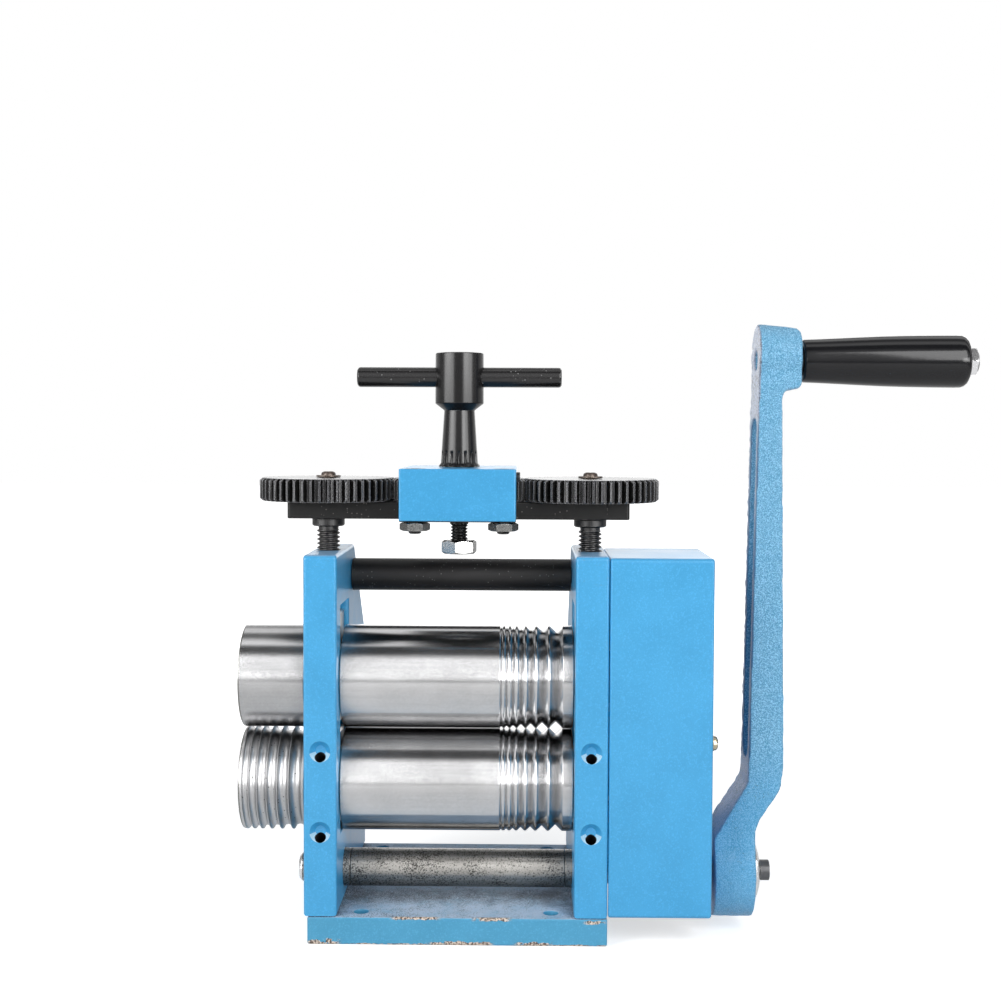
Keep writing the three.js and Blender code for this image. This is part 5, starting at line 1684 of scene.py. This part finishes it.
@dataclass
class Drive(Assembly):
    """Drive shaft, crank and handle."""

    name: str = "drive"
    hub_length: float = 19.1
    hub_radius: float = 21.5
    throw: float = 244.3
    boss_radius: float = 15.0
    boss_rise: float = 2.2
    boss_over_arm: float = 9.2
    boss_draft: float = 2.2
    arm_half_width: float = 13.3
    arm_offset: float = 15.9
    arm_lean: float = 3.6
    arm_top_thickness: float = 10.3
    channel: tuple[float, float, float, float] = (7.5, 6.0, 55.0, 217.0)
    bend: tuple[Point, ...] = (  # outer side of the arm above the hub, as (place along X, height)
        (19.5, 22.5), (20.45, 25.3), (21.65, 27.7), (23.2, 30.1), (24.8, 32.5), (26.6, 34.9), (28.3, 37.3),
        (29.6, 39.6), (30.9, 42.0), (31.75, 44.4), (32.3, 49.2), (32.6, 52.5), (32.65, 58.7),
    )
    bore: float = 7.3
    eye: float = 4.3
    voxel: float = 0.7
    rim: float = 9.0
    waves: tuple[Point, ...] = ((160, 0.16), (520, 0.1), (330, 0.45))  # scale and height of the skin's unevenness
    bolt: CapScrew = CapScrew(18.9, 6, 9.8, 4.5, 5)
    bolt_rise: float = 4.3
    washer: tuple[Point, ...] = (
        (0, 3.3), (0, 13.2), (0.5, 13.85), (1.4, 13.85), (2.4, 12.2),
        (3.2, 9.7), (3.8, 7.0), (4, 5.2), (4, 3.3), (0, 3.3),
    )
    bright_end: float = -69.0
    shaft_profile: tuple[Point, ...] = (
        (-76.4, 0), (-76.4, 5.6), (-75, 7), (-51.2, 7), (-51.2, 9), (51.2, 9), (51.2, 7), (140.1, 7), (140.1, 0),
    )
    bush_profile: tuple[Point, ...] = ((51.5, 7.3), (51.5, 9), (70, 9), (70, 7.3), (51.5, 7.3))
    spindle: tuple[Point, ...] = (
        (143.3, 0), (143.3, 4), (160.6, 4), (160.6, 7), (161.9, 7), (161.9, 5),
        (240.4, 5), (240.4, 4), (243.9, 4), (243.9, 0),
    )
    grip: tuple[Point, ...] = (
        (0, 5.3), (0, 9.2), (0.3, 9.85), (1.1, 10.15), (7.82, 10.4), (17.204, 10.85), (27.37, 11.35), (37.536, 11.8),
        (48.484, 12.1), (60.996, 12.28), (71.944, 12.35), (74.6, 12.3), (76.0, 11.9), (77.1, 11.1), (77.8, 9.9),
        (78.1, 8.9), (77.8, 8.2), (77.2, 7.8), (77.2, 5.3), (0, 5.3),
    )
    grip_start: float = 162.2
    cap_nut: tuple[Point, ...] = (
        (240.7, 4.3), (240.7, 6.7), (241, 7.05), (241.8, 7.05), (242.6, 7.05), (243.4, 7.05), (244.0, 6.6),
        (244.2, 5.6), (244.9, 5.0), (245.4, 3.7), (245.8, 1.8), (245.8, 0), (243.9, 0), (243.9, 4.3), (240.7, 4.3),
    )
    nut_flats: float = 12.2

    def build(self) -> None:
        """Makes the shaft, the crank and its handle."""
        self.dress(self.shaft(), SHAFT_STEEL, "plain_steel", "drive", "drive_shaft")
        self.tint(self.pieces[-1], BRIGHT_STEEL, lambda place, normal: place.x < self.bright_end)
        for side in Side:
            self.dress(self.bush(side), SHAFT_STEEL, "plain_steel", "frame", f"drive_bush_{side.word}")
        self.dress(self.crank(), CRANK_PAINT, "blue_cast_paint", "drive", "crank_arm", sharp=180)
        seat = HUB_INNER + self.hub_length + GAP
        piece = turned("crank_washer_domed", self.washer, Axis.X, (seat, 0, DRIVE_AXIS), 96, 0)
        self.dress(piece, BRIGHT_STEEL, "zinc_steel", "drive", "crank_washer", sharp=50)
        piece = self.bolt.build("crank_bolt_detail", (seat + self.bolt_rise, 0, DRIVE_AXIS), Axis.X, 1)
        self.dress(piece, BOLT_STEEL, "black_oxide", "drive", "crank_bolt")
        self.handle()

    def shaft(self) -> Piece:
        """Drive shaft with its journals."""
        return turned("drive_shaft_turned", self.shaft_profile, Axis.X, (0, 0, DRIVE_AXIS), 96, 0.35)

    def bush(self, side: Side) -> Piece:
        """Bush that stands a little inside a side frame."""
        line = [(side.value * along, radius) for along, radius in self.bush_profile]
        return turned(f"drive_bush_{side.word}_turned", line, Axis.X, (0, 0, DRIVE_AXIS), 96, 0.3)

    def crank(self) -> Piece:
        """Cranked arm with its hub, handle boss and the channel in its inner face.

        Returns:
            The casting.
        """
        boss = self.throw + self.boss_rise
        under, top = boss - self.boss_radius, boss + self.boss_radius
        inner_top = self.arm_offset + self.arm_lean
        outer_top = inner_top + self.arm_top_thickness
        boss_x = outer_top + self.boss_over_arm
        side = [(0, -self.hub_radius), (self.hub_length, -self.hub_radius), *self.bend]
        side += [(outer_top + 0.2, under - 4.5), (outer_top + 1.4, under - 1.6)]
        side += [(boss_x - 1.5, under - 0.6), (boss_x, under + 1.6)]
        side += [(boss_x, top - self.boss_draft - 2.2), (boss_x - 1.6, top - self.boss_draft), (inner_top, top + 0.2)]
        side += [(self.arm_offset, 45.2), (0, self.hub_radius * 0.88)]
        half = self.hub_radius + 1
        piece = plate("crank_arm_casting", side, -half, half, Axis.Y, 0)
        face = plate("tool", self.face_outline(boss), -2, boss_x + 2, Axis.X, 0)
        carve(piece, [face], "INTERSECT")
        width, depth, low, high = self.channel
        opening = rounded_outline(rectangle(-width, low, width, high, width - 0.1), 10)
        channel = plate("tool", opening, -5, 40, Axis.X, 0)
        keep = box((-6, -30, 0), (self.arm_offset + depth, 30, 300))
        carve(channel, [keep], "INTERSECT")
        hub = cylinder(Axis.X, -1, self.hub_length + 1, self.bore, sides=48)
        eye = cylinder(Axis.X, 0, boss_x + 1, self.eye, (0, 0, self.throw), 48)
        carve(piece, [channel, hub, eye])
        self.cast_skin(piece)
        piece.data.transform(Matrix.Translation(Vector((HUB_INNER, 0, DRIVE_AXIS)) * MM))
        return piece

    def face_outline(self, boss: float) -> list[Point]:
        """Outline of the crank seen along its axle: round hub, straight arm and round boss.

        Args:
            boss: height of the boss's middle.

        Returns:
            The outline.
        """
        half, hub = self.arm_half_width, self.hub_radius
        shoulder, side = math.radians(36), math.asin(self.arm_half_width / self.boss_radius)
        corner = Vector((hub * math.cos(shoulder), hub * math.sin(shoulder)))
        start, pull = Vector((half, hub * 2.4)), Vector((half, hub * 1.35))
        neck = [(1 - t) ** 2 * start + 2 * t * (1 - t) * pull + t * t * corner for t in (i / 10 for i in range(11))]
        right = [tuple(point) for point in reversed(neck)]
        arc = [side - math.pi / 2 + (TAU - 2 * side) * i / 28 for i in range(29)]
        top = [(self.boss_radius * math.cos(a), boss + self.boss_radius * math.sin(a)) for a in arc]
        left = [(-u, v) for u, v in reversed(right)]
        turn = [math.pi - shoulder + (math.pi + 2 * shoulder) * i / 36 for i in range(1, 36)]
        foot = [(hub * math.cos(a), hub * math.sin(a)) for a in turn]
        return right + top + left + foot

    def cast_skin(self, piece: Piece) -> None:
        """Rounds the casting's edges and gives it an uneven skin.

        Args:
            piece: the carved casting.
        """
        coat = piece.modifiers.new("skin", "REMESH")
        coat.mode = "VOXEL"
        coat.voxel_size = self.voxel * MM
        ease = piece.modifiers.new("ease", "SMOOTH")
        ease.factor = 0.7
        ease.iterations = 8
        bpy.context.view_layer.update()
        piece.data = bpy.data.meshes.new_from_object(piece.evaluated_get(bpy.context.evaluated_depsgraph_get()))
        piece.modifiers.clear()
        normals = [vertex.normal.copy() for vertex in piece.data.vertices]
        for vertex, normal in zip(piece.data.vertices, normals):
            broad, fine, ragged = (noise.noise(vertex.co * scale) * height for scale, height in self.waves)
            rim = max(0.0, vertex.co.y / MM - self.rim) / 4 if normal.x < 0 or normal.y > 0.5 else 0.0
            fine += ragged * min(1.0, rim)
            vertex.co += normal * (broad + fine) * MM

    def handle(self) -> None:
        """Spindle, grip and cap nut."""
        centre = (0, 0, HANDLE_AXIS)
        piece = turned("handle_spindle_turned", self.spindle, Axis.X, centre, 64, 0.3)
        self.dress(piece, BOLT_STEEL, "plain_steel", "drive", "handle_spindle")
        piece = turned("handle_grip_moulded", self.grip, Axis.X, (self.grip_start, 0, HANDLE_AXIS), 128, 0)
        self.dress(piece, GRIP_PLASTIC, "grip_plastic", "grip", "handle_grip", sharp=50)

        def shape(along: float, radius: float, angle: float) -> float:
            """Cuts the six flats of the nut's foot."""
            return min(radius, hexagon_radius(self.nut_flats, angle)) if radius > 6 else radius

        piece = turned("handle_cap_nut_domed", self.cap_nut, Axis.X, centre, 96, 0, shape)
        self.dress(piece, CHROME, "chrome", "drive", "handle_cap_nut", sharp=50)


TOP_GEAR = Gear(50, 1.25)


@dataclass
class TopBar(Assembly):
    """Bar over the frames and the block that straddles its middle."""

    name: str = "top bar"
    half_length: float = 80.6
    half_width: float = 12.0
    left: float = -25.9
    right: float = 27.3
    half_depth: float = 38.0
    lip: float = 1.6
    bolt_y: float = -32.0
    bolt_xs: tuple[float, float] = (-18.9, 21.5)
    bolt_hole: float = 3.3
    head_hole: float = 5.1
    head_floor: float = 217.0
    thread_ends: tuple[float, float] = (190.9, 201.0)
    nut_flats: float = 12.1
    nut_ends: tuple[float, float] = (192.3, 196.1)
    nut_bore: float = 3.1
    nut_turn: float = math.radians(5)
    screw_hole: float = 5.3
    pocket: float = 33.3
    spindle_hole: float = 7.3
    grub: CapScrew = CapScrew(3, 3, 4.4, 1.8, 2)
    grub_place: Point = (-27.0, 216.9)

    def build(self) -> None:
        """Makes the bar, the block and its bolts."""
        self.dress(self.bar(), BAR_BLACK, "black_oxide", "top_bar", "screw_bar")
        self.dress(self.bridge(), BRIDGE_PAINT, "blue_paint", "top_bar", "gear_bridge")
        for side, x in zip(Side, self.bolt_xs):
            self.dress(self.bolt(side, x), PLAIN_BLACK, "black_oxide", "top_bar", f"bridge_bolt_{side.word}")
            name, centre = f"bridge_nut_{side.word}", (x, self.bolt_y, 0)
            nut = hex_nut(f"{name}_plated", self.nut_flats, *self.nut_ends, self.nut_bore, centre, self.nut_turn)
            self.dress(nut, DULL_ZINC, "zinc_steel", "top_bar", name)
        grub = self.grub.build("bridge_side_screw", (self.right, *self.grub_place), Axis.X, 1)
        self.dress(grub, PLAIN_BLACK, "black_oxide", "top_bar")

    def bar(self) -> Piece:
        """Bar with its wide middle and its bores.

        Returns:
            The bar.
        """
        plate_half = self.half_depth - self.lip - GAP
        w, h = self.half_width, self.half_length
        corners = [(-h, -w, 1.5), (self.left, -w), (self.left, -plate_half), (self.right, -plate_half)]
        corners += [(self.right, -w), (h, -w, 1.5), (h, w, 1.5), (self.right, w), (self.right, plate_half)]
        corners += [(self.left, plate_half), (self.left, w), (-h, w, 1.5)]
        holes = [circle(self.screw_hole, x) for x in (-FRAME_MIDDLE, FRAME_MIDDLE, 0)]
        holes += [circle(self.bolt_hole, x, self.bolt_y, 32) for x in self.bolt_xs]
        return plate("screw_bar_blackened", rounded_outline(corners), BAR_BOTTOM, BAR_TOP, Axis.Z, 0.5, 2, holes)

    def bridge(self) -> Piece:
        """Block that roofs the centre gear, hollow underneath.

        Returns:
            The block.
        """
        low = BAR_BOTTOM + 0.5
        outline = rounded_outline(rectangle(self.left, -self.half_depth, self.right, self.half_depth, 0.9))
        piece = plate("gear_bridge_block", outline, low, BRIDGE_TOP, Axis.Z, 0.6, 3)
        inner = self.half_depth - self.lip
        room = box((-90, -inner, 100), (90, inner, GEAR_BOTTOM))
        pocket = cylinder(Axis.Z, low, GEAR_TOP + 0.8, self.pocket, sides=128)
        tools = [room, pocket, cylinder(Axis.Z, low, BRIDGE_TOP + 1, self.spindle_hole)]
        ends, radii = (low, self.head_floor, BRIDGE_TOP + 1), (self.bolt_hole, self.head_hole)
        carve(piece, tools + [stepped(Axis.Z, ends, radii, (x, self.bolt_y, 0)) for x in self.bolt_xs])
        return piece

    def bolt(self, side: Side, x: float) -> Piece:
        """Bolt through the block and the bar, its threaded end below the nut.

        Args:
            side: left or right.
            x: the bolt's place along X.

        Returns:
            The bolt.
        """
        end, top = self.thread_ends
        line = [(end, 0), (end, 2.2), (end + 0.4, 2.75)]
        line += [(z, 3.0) for z in levels(end + 0.5, top, 0.125)]
        line += [(217.3, 3.0), (217.3, 4.8), (220.7, 4.8), (220.7, 2.3), (218.9, 2.3), (218.7, 0)]
        relief = thread_relief(end + 0.45, top, 1.0, 0.45)

        def shape(along: float, radius: float, angle: float) -> float:
            """Makes the socket's wall a hexagon and cuts the thread."""
            socket = abs(radius - 2.3) < 0.05 and along > 210
            return hexagon_radius(4.6, angle) if socket else relief(along, radius, angle)

        return turned(f"bridge_bolt_{side.word}_threaded", line, Axis.Z, (x, self.bolt_y, 0), 60, 0, shape)


@dataclass
class PressureScrew(Assembly):
    """One pressure screw with the gear and the screw on top of it."""

    name: str = "pressure screw"
    side: Side = Side.LEFT
    pitch: float = 2.0
    thread_ends: tuple[float, float] = (156.5, 190.9)
    tip: tuple[Point, ...] = ((150.3, 0), (150.3, 3.6), (150.8, 4.1), (156.3, 4.1))
    collar: tuple[Point, ...] = (
        (190.7, 4.8), (192.4, 4.8), (192.4, 7.0), (193.0, 7.75), (195.8, 7.75),
        (196.1, 7.4), (196.1, 5), (215.2, 5), (215.2, 0),
    )
    gear: Gear = TOP_GEAR
    gear_bore: float = 5.3
    slot: Point = (2.4, 0.45)

    def build(self) -> None:
        """Makes the screw, its gear and the gear's screw."""
        word = self.side.word
        body = f"{word}_screw"
        x = self.side.value * FRAME_MIDDLE
        self.dress(self.screw(x), PLAIN_BLACK, "black_oxide", body, f"pressure_screw_{word}", sharp=40)
        half_tooth = math.pi / self.gear.teeth
        phase = half_tooth if self.side is Side.LEFT else math.pi + half_tooth
        wheel = self.gear.build(f"screw_gear_{word}_cut", GEAR_BOTTOM, GEAR_TOP, self.gear_bore, (x, 0, 0), phase)
        self.dress(wheel, GEAR_BLACK, "black_oxide", body, f"screw_gear_{word}", sharp=28)
        self.dress(self.gear_screw(x), BROWNED, "yellow_zinc", body, f"gear_screw_{word}")

    def screw(self, x: float) -> Piece:
        """Pressure screw: tip, thread, collar under the bar and journal through it.

        Args:
            x: the screw's place along X.

        Returns:
            The screw.
        """
        line = [*self.tip, *[(z, 5.5) for z in levels(156.6, 190.6, 0.2)], *self.collar]
        relief = thread_relief(*self.thread_ends, self.pitch, 1.15)
        return turned(f"pressure_screw_{self.side.word}_threaded", line, Axis.Z, (x, 0, 0), 72, 0, relief)

    def gear_screw(self, x: float) -> Piece:
        """Pan head screw with a washer and crossed slots.

        Args:
            x: the screw's place along X.

        Returns:
            The screw.
        """
        seat = GEAR_TOP + GAP
        line = [(seat - 10, 0), (seat - 10, 2.5), (seat, 2.5), (seat, 5.85), (seat + 0.8, 5.85), (seat + 0.8, 3.5)]
        line += [(seat + 1.3, 3.5), (seat + 2.1, 3.2), (seat + 2.6, 2.2), (seat + 2.7, 0)]
        piece = turned(f"gear_screw_{self.side.word}_detail", line, Axis.Z, (x, 0, 0), 64, 0.2)
        ways = (self.slot, self.slot[::-1])
        carve(piece, [box((x - u, -v, seat + 1.6), (x + u, v, seat + 4)) for u, v in ways])
        return piece


@dataclass
class TeeHandle(Assembly):
    """T-handle with its spindle, centre gear and lower nut."""

    name: str = "tee handle"
    foot: float = 221.0
    neck_top: float = 247.6
    head_low: float = 251.2
    head_top: float = 274.9
    head_radius: float = 11.6
    bar_height: float = 263.4
    bar_hole: float = 4.9
    bar: tuple[Point, ...] = ((48.5, 0), (48.5, 3.8), (47.9, 4.5), (47.2, 4.7))
    thread_ends: tuple[float, float] = (180.2, 193.6)
    nut_flats: float = 15.2
    nut_ends: tuple[float, float] = (179.4, 186.0)
    nut_bore: float = 4.2
    gear_bore: float = 7.3
    nut_turn: float = math.radians(-100)
    flute_height: float = 7.4
    flutes: int = 16
    gear: Gear = TOP_GEAR

    def build(self) -> None:
        """Makes the spindle, the cross bar, the gear and the nut."""
        self.dress(self.spindle(), UPRIGHT_BLACK, "black_oxide", "t_handle", "t_spindle", sharp=38)
        line = [(-along, radius) for along, radius in self.bar] + list(self.bar[::-1])
        bar = turned("t_bar_turned", line, Axis.X, (0, 0, self.bar_height), 72, 0)
        self.dress(bar, ROD_BLACK, "black_oxide", "t_handle", "t_bar")
        wheel = self.gear.build("centre_gear_cut", GEAR_BOTTOM, GEAR_TOP, self.gear_bore, (0, 0, 0), 0)
        self.dress(wheel, GEAR_BLACK, "black_oxide", "t_handle", "centre_gear", sharp=28)
        name, centre = "spindle_nut_plated", (0, 0, 0)
        nut = hex_nut(name, self.nut_flats, *self.nut_ends, self.nut_bore, centre, self.nut_turn)
        self.dress(nut, ZINC, "zinc_steel", "t_handle", "spindle_nut")

    def flute(self, rise: float, angle: float) -> float:
        """Depth of the flutes at a height above the foot."""
        ridge = max(0.0, math.cos(self.flutes * angle)) ** 0.7
        return 0.9 * ridge * math.sqrt(max(0.0, 1 - (rise / self.flute_height) ** 2.5))

    def spindle(self) -> Piece:
        """Spindle from its threaded end up to the fluted foot, the neck and the head.

        Returns:
            The spindle.
        """
        (low, top), foot, neck, head = self.thread_ends, self.foot, self.neck_top, self.head_radius
        line = [(low, 0), (low, 3.0), (low + 0.6, 3.7)]
        line += [(z, 4.1) for z in levels(low + 0.7, top, 0.15)]
        line += [(top, 4.4), (BAR_BOTTOM, 4.4), (BAR_BOTTOM, 5), (GEAR_BOTTOM, 5), (GEAR_BOTTOM, 7), (foot, 7)]
        line += [(foot, 9.8), (foot + 0.2, 10), (foot + 0.8, 9.6), (foot + 1.6, 8.95)]
        line += [(z, 8.85 - (z - foot - 2) * 0.0625) for z in levels(foot + 2, neck - 0.6, 0.45)]
        line += [(neck, 7.3), (neck + 0.35, 7.55), (self.head_low - 0.4, head - 0.35), (self.head_low + 0.1, head)]
        line += [(self.head_top - 0.7, head), (self.head_top - 0.2, head - 0.2)]
        line += [(self.head_top, head - 0.7), (self.head_top, 0)]
        relief = thread_relief(low + 0.65, top, 1.5, 0.8)

        def shape(along: float, radius: float, angle: float) -> float:
            """Cuts the flutes of the foot and the thread."""
            fluted = foot < along < foot + self.flute_height and radius > 7.5
            return radius - self.flute(along - foot, angle) if fluted else relief(along, radius, angle)

        piece = turned("t_spindle_turned", line, Axis.Z, (0, 0, 0), 192, 0, shape)
        carve(piece, [cylinder(Axis.X, -2 * head, 2 * head, self.bar_hole, (0, 0, self.bar_height))])
        return piece


@dataclass
class Studio:
    """Pale floor, soft lights, white surroundings and the camera."""

    camera_place: Place = (30.13, -713.03, 236.93)
    yaw: float = math.radians(-0.837)
    pitch: float = math.radians(-2.577)
    roll: float = math.radians(0.239)
    focal_share: float = 1494.6 / 1001
    ambient: float = 0.3
    room: tuple[Point, ...] = (
        (0, 0.26), (6, 0.3), (13, 0.36), (20, 0.42), (36, 0.4), (46, 0.34), (54, 0.16), (58, 0.03),
        (76, 0.03), (80, 0.55), (90, 0.55), (96, 0.3), (103, 0.08), (114, 0.1), (120, 0.42), (132, 0.4),
        (142, 0.2), (150, 0.08), (161, 0.1), (170, 0.42), (176, 0.4), (180, 0.2),
    )
    panels: tuple[tuple[float, float, float], ...] = ((-49.0, 24.0, 9.0), (42.0, 21.0, 10.0))
    lamps: tuple[tuple[str, float, float], ...] = (("left", -50, 10.5), ("right", 32, 11.0))
    lamp_rise: float = math.radians(27)
    lamp_distance: float = 1400.0
    lamp_size: Point = (0.55, 0.9)
    rear_place: Place = (0, 1500, 500)
    rear_size: Point = (2.0, 0.8)
    rear_power: float = 5.0
    aim: Place = (20, 0, 130)
    room_gain: float = 3.0
    film: float = 36.0
    floor_half: float = 6000.0
    floor_height: float = -0.05

    def build(self) -> None:
        """Sets up everything that isn't part of the mill."""
        self.floor()
        self.surroundings()
        self.lights()
        self.camera()
        bpy.context.scene.view_settings.view_transform = "Standard"

    def floor(self) -> None:
        """Wide pale floor that keeps a soft shadow."""
        half, height = self.floor_half, self.floor_height
        corners = [(-half, -half, height), (half, -half, height), (half, half, height), (-half, half, height)]
        piece = mesh_object("floor", corners, [(0, 1, 2, 3)])
        material, wiring, shader = start_material("floor")
        look = {"Base Color": (0.82, 0.82, 0.82), "Roughness": 0.9, "Specular IOR Level": 0.0}
        wiring.feed_all(shader, look | {"Emission Color": (1.0, 1.0, 1.0)})
        reach = wiring.add("ShaderNodeVectorMath", {0: wiring.place()}, operation="LENGTH").outputs["Value"]
        path = wiring.add("ShaderNodeLightPath").outputs
        seen = wiring.times(path["Is Camera Ray"], wiring.ramp(reach, 0.3, 0.9, 0.6, 1.0))
        shown = wiring.times(path["Is Glossy Ray"], wiring.ramp(reach, 0.5, 1.6, 0.27, 0.08))
        wiring.feed(shader.inputs["Emission Strength"], wiring.math("ADD", seen, shown))
        piece.data.materials.append(material)

    def surroundings(self) -> None:
        """White to the eye; in reflections, bands of grey with bright panels in front."""
        world = bpy.data.worlds.new("studio")
        world.use_nodes = True
        bpy.context.scene.world = world
        wiring = Wiring(world.node_tree)
        path = wiring.add("ShaderNodeLightPath").outputs
        x, y, z = wiring.split(wiring.add("ShaderNodeTexCoord").outputs["Generated"])
        height = wiring.math("ARCTAN2", z, wiring.times(y, -1.0))
        share = wiring.math("DIVIDE", height, math.pi, clamp=True)
        bands = wiring.add("ShaderNodeValToRGB", {0: share})
        stops = bands.color_ramp.elements
        for at, level in self.room:
            stop = stops.new(at / 180) if 0 < at < 180 else stops[0 if at == 0 else -1]
            stop.color = (level, level, level, 1)
        light = wiring.times(bands.outputs[0], self.room_gain)
        turn = wiring.math("ARCTAN2", x, wiring.times(y, -1.0))
        azimuth = wiring.times(turn, 180 / math.pi)
        rise = wiring.times(wiring.math("ARCSINE", z), 180 / math.pi)
        tall = wiring.times(wiring.ramp(rise, -8.0, -4.0), wiring.ramp(rise, 15.0, 8.0))
        for middle, half, level in self.panels:
            apart = wiring.math("ABSOLUTE", wiring.math("SUBTRACT", azimuth, middle))
            panel = wiring.times(wiring.ramp(apart, half + 4, half - 4, 0.0, level), tall)
            light = wiring.math("ADD", light, panel)
        lit = wiring.times(light, path["Is Glossy Ray"])
        spread = wiring.times(path["Is Diffuse Ray"], self.ambient)
        through = wiring.math("MAXIMUM", path["Is Camera Ray"], path["Is Transmission Ray"])
        base = world.node_tree.nodes["Background"]
        base.inputs["Color"].default_value = (1, 1, 1, 1)
        wiring.feed(base.inputs["Strength"], wiring.math("ADD", wiring.math("ADD", lit, spread), through))

    @staticmethod
    def lamp(name: str, place: Place, aim: Place, size: Point, power: float) -> None:
        """Soft rectangular lamp, aimed at a point.

        Args:
            name: the lamp's name.
            place: its middle, in millimetres.
            aim: the point that it faces, in millimetres.
            size: width and height, in metres.
            power: its power in watts.
        """
        data = bpy.data.lights.new(name, "AREA")
        data.shape = "RECTANGLE"
        data.size, data.size_y = size
        data.energy = power
        data.specular_factor = 0.0
        lamp = bpy.data.objects.new(name, data)
        lamp.location = Vector(place) * MM
        lamp.rotation_euler = (Vector(aim) - Vector(place)).to_track_quat("-Z", "Y").to_euler()
        lamp.visible_camera = False
        bpy.context.scene.collection.objects.link(lamp)

    def lights(self) -> None:
        """Two large front lamps and a low one behind."""
        middle = Vector(self.aim)
        for name, azimuth, power in self.lamps:
            turn, rise = math.radians(azimuth), self.lamp_rise
            away = Vector((math.sin(turn) * math.cos(rise), -math.cos(turn) * math.cos(rise), math.sin(rise)))
            self.lamp(name, middle + away * self.lamp_distance, middle, self.lamp_size, power)
        self.lamp("rear", Vector(self.rear_place), middle, self.rear_size, self.rear_power)

    def camera(self) -> None:
        """Camera at the photograph's place and angle."""
        data = bpy.data.cameras.new("camera")
        data.sensor_width = self.film
        data.lens = self.film * self.focal_share
        data.clip_end = 50
        eye = bpy.data.objects.new("camera", data)
        level = math.cos(self.pitch)
        forward = Vector((math.sin(self.yaw) * level, math.cos(self.yaw) * level, math.sin(self.pitch)))
        right = Vector((math.cos(self.yaw), -math.sin(self.yaw), 0))
        up = right.cross(forward)
        across = math.cos(self.roll) * right + math.sin(self.roll) * up
        upright = -math.sin(self.roll) * right + math.cos(self.roll) * up
        turn = Matrix((across, upright, -forward)).transposed().to_4x4()
        eye.matrix_world = Matrix.Translation(Vector(self.camera_place) * MM) @ turn
        bpy.context.scene.collection.objects.link(eye)
        bpy.context.scene.camera = eye


def main() -> None:
    """Builds the studio and the mill."""
    logging.basicConfig(level=logging.INFO, format="%(name)s: %(message)s")
    Studio().build()
    assemblies = [Castings(), GearCase(), Bearings(), Rolls(), Drive(), TopBar()]
    assemblies += [PressureScrew(side=side) for side in Side]
    assemblies.append(TeeHandle())
    for assembly in assemblies:
        assembly.build()
        LOG.info("%s has %d pieces", assembly.name, len(assembly.pieces))


if __name__ == "__main__":
    main()
